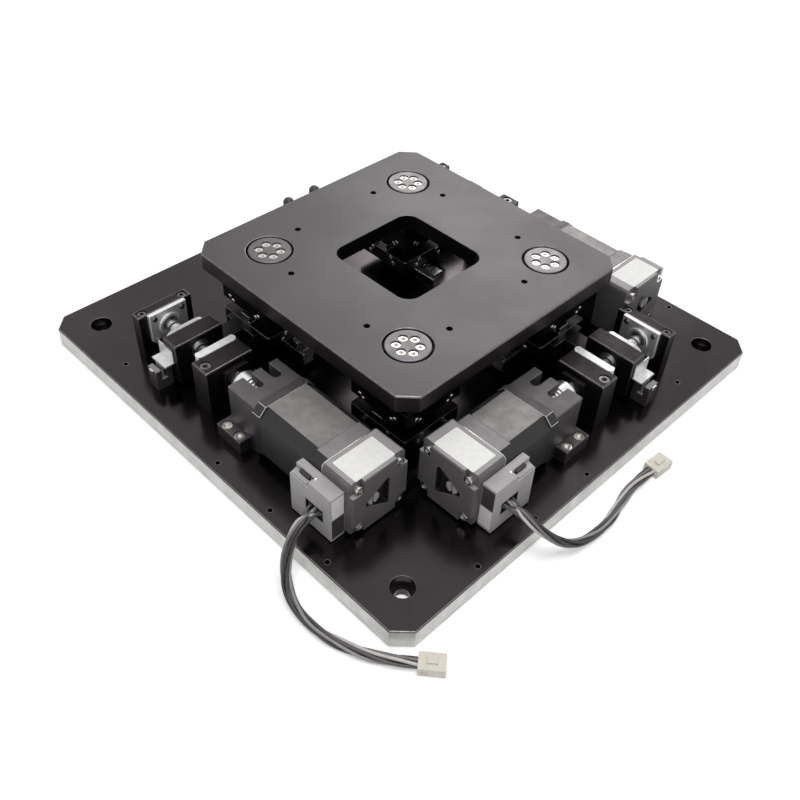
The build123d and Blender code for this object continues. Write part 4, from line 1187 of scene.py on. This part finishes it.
    def build_labels(self) -> None:
        """Add the blank label on the encoder cover and the bright joint in front of it."""
        start, top = self.cover_start / MM, self.cover_half / MM
        middle = start + self.cover_length / MM / 2
        long, wide, thick = self.label_mm
        mesh = bmesh.new()
        add_block(mesh, (middle - long / 2, self.label_side_mm - wide / 2, top - 0.02),
                  (middle + long / 2, self.label_side_mm + wide / 2, top + thick), 0.8)
        self.add_piece("motor_label_", mesh, always(LABEL_WHITE), "encoder_cover_")
        gasket, half = self.gasket_mm
        mesh = bmesh.new()
        add_block(mesh, (start - gasket, -half, -half), (start, half, half), 3.0, 0)
        self.add_piece("cover_joint_", mesh, always(FASTENER), "motor_body_")

    def build_box_details(self) -> None:
        """Add the connector housing's blank stickers, latch, lever, inner plug and pin."""
        back = self.cover_end / MM - self.box_back_mm
        inner, outer = self.box_sides_mm
        side, gap, thick = self.sticker_mm
        mesh = bmesh.new()
        for high, low in zip(self.sticker_levels_mm, self.sticker_levels_mm[1:]):
            add_block(mesh, (back - 0.05, inner + side, low + gap), (back + thick, outer - side, high - gap),
                      0.5, 0)
        split = (self.sticker_levels_mm[1] - 1) * MM
        upper_dark = self.drive is Drive.Y
        self.add_piece("box_stickers_", mesh, lambda site: LABEL_DARK
                       if (site.low.z > split) == upper_dark else LABEL_WHITE,
                       "connector_box_")
        step_wide, step_high = self.box_step_mm
        corner = Vector((back - self.box_length_mm, outer - step_wide, self.box_top_mm - step_high))
        mesh = bmesh.new()
        for low, high in (self.latch_mm, self.lever_mm):
            add_block(mesh, corner + Vector(low), corner + Vector(high))
        wide, tall, deep = self.socket_mm
        along, level = self.socket_place_mm
        gap, sink = self.inner_plug_mm
        add_block(mesh, (back - along - wide + gap, outer - deep, level - tall + gap),
                  (back - along + wide - gap, outer - sink, level + tall - gap), 0.5, 1)
        place = Matrix.Translation((corner + Vector(self.pin_place_mm)) * MM)
        add_turned(mesh, self.pin_section_mm, place, 12)
        self.add_piece("box_details_", mesh, self.detail_finish, "connector_box_", 0.1)

    def detail_finish(self, site: Site) -> Finish:
        """Grey latch lever, the black slot beside it as painted shade, a black plug and a bright pin."""
        size = site.size
        if size.x < self.pin_widest:
            return FASTENER
        # The block by the lever is black as the painted shade of a slot; the inner plug is black plastic.
        return BOX_GREY if size.y > self.lever_deeper and size.z < self.lever_lower else BLACK_PLUG_AND_SOCKET_SHADE

    def build_thread(self) -> None:
        """Add the dark ball track that winds along the screw shaft."""
        low, high = self.thread_span_mm
        start = low + self.thread_lead_mm / 4
        turns = (high - low) / self.thread_lead_mm - 0.5
        mesh = bmesh.new()
        verts = [mesh.verts.new(((start + along) * MM, 0.0, radius * MM))
                 for radius, along in self.thread_section_mm]
        face = mesh.faces.new(verts)
        steps = round(turns * self.thread_steps)
        step = turns * self.thread_lead_mm * MM / steps
        bmesh.ops.spin(mesh, geom=[face], cent=(0, 0, 0), axis=(1, 0, 0), dvec=(step, 0, 0),
                       angle=turns * math.tau, steps=steps, use_merge=False, use_duplicate=False)
        self.add_piece("ball_track_", mesh, always(TRACK_STEEL), "ball_screw_")

    def build_end_screws(self) -> None:
        """Add four small screws and the bearing's ring to the bright plate at the screw's far end."""
        mesh = bmesh.new()
        plate = self.end_plate_mm * MM
        add_turned(mesh, self.end_ring_section_mm, facing((1, 0, 0), (plate, 0, 0)), 36)
        for across, up in self.end_screws_mm:
            place = facing((1, 0, 0), (plate, across * MM, up * MM))
            add_turned(mesh, self.end_screw_section_mm, place, 16)
        self.add_piece("end_screws_", mesh, by_length(1, 8, BRIGHT_PLATE, BLACK_SCREW),
                       "retainer_plates_")

    def build_sensor_tab(self) -> None:
        """Add the bright tab at the sensor's outer end."""
        mesh = bmesh.new()
        add_block(mesh, *self.sensor_tab_mm)
        bmesh.ops.transform(mesh, matrix=self.matrix, verts=mesh.verts)
        finishes = dress(mesh, always(FASTENER), self.matrix.inverted())
        finish_piece("sensor_tab_" + self.drive.value, mesh, finishes, "base", 0.2)


def main() -> None:
    """Build the studio, the leads and every sub-assembly in order."""
    logging.basicConfig(level=logging.INFO, format="%(message)s")
    PhotoCamera().build()
    for drive, points in LEAD_ROUTES_MM.items():
        LeadBundle(drive, points).build()
    Studio().build()
    Plates().build()
    for corner in Corner:
        CornerModule(corner).build()
    Guides().build()
    for drive in Drive:
        DriveLine(drive).build()


if __name__ == "__main__":
    main()
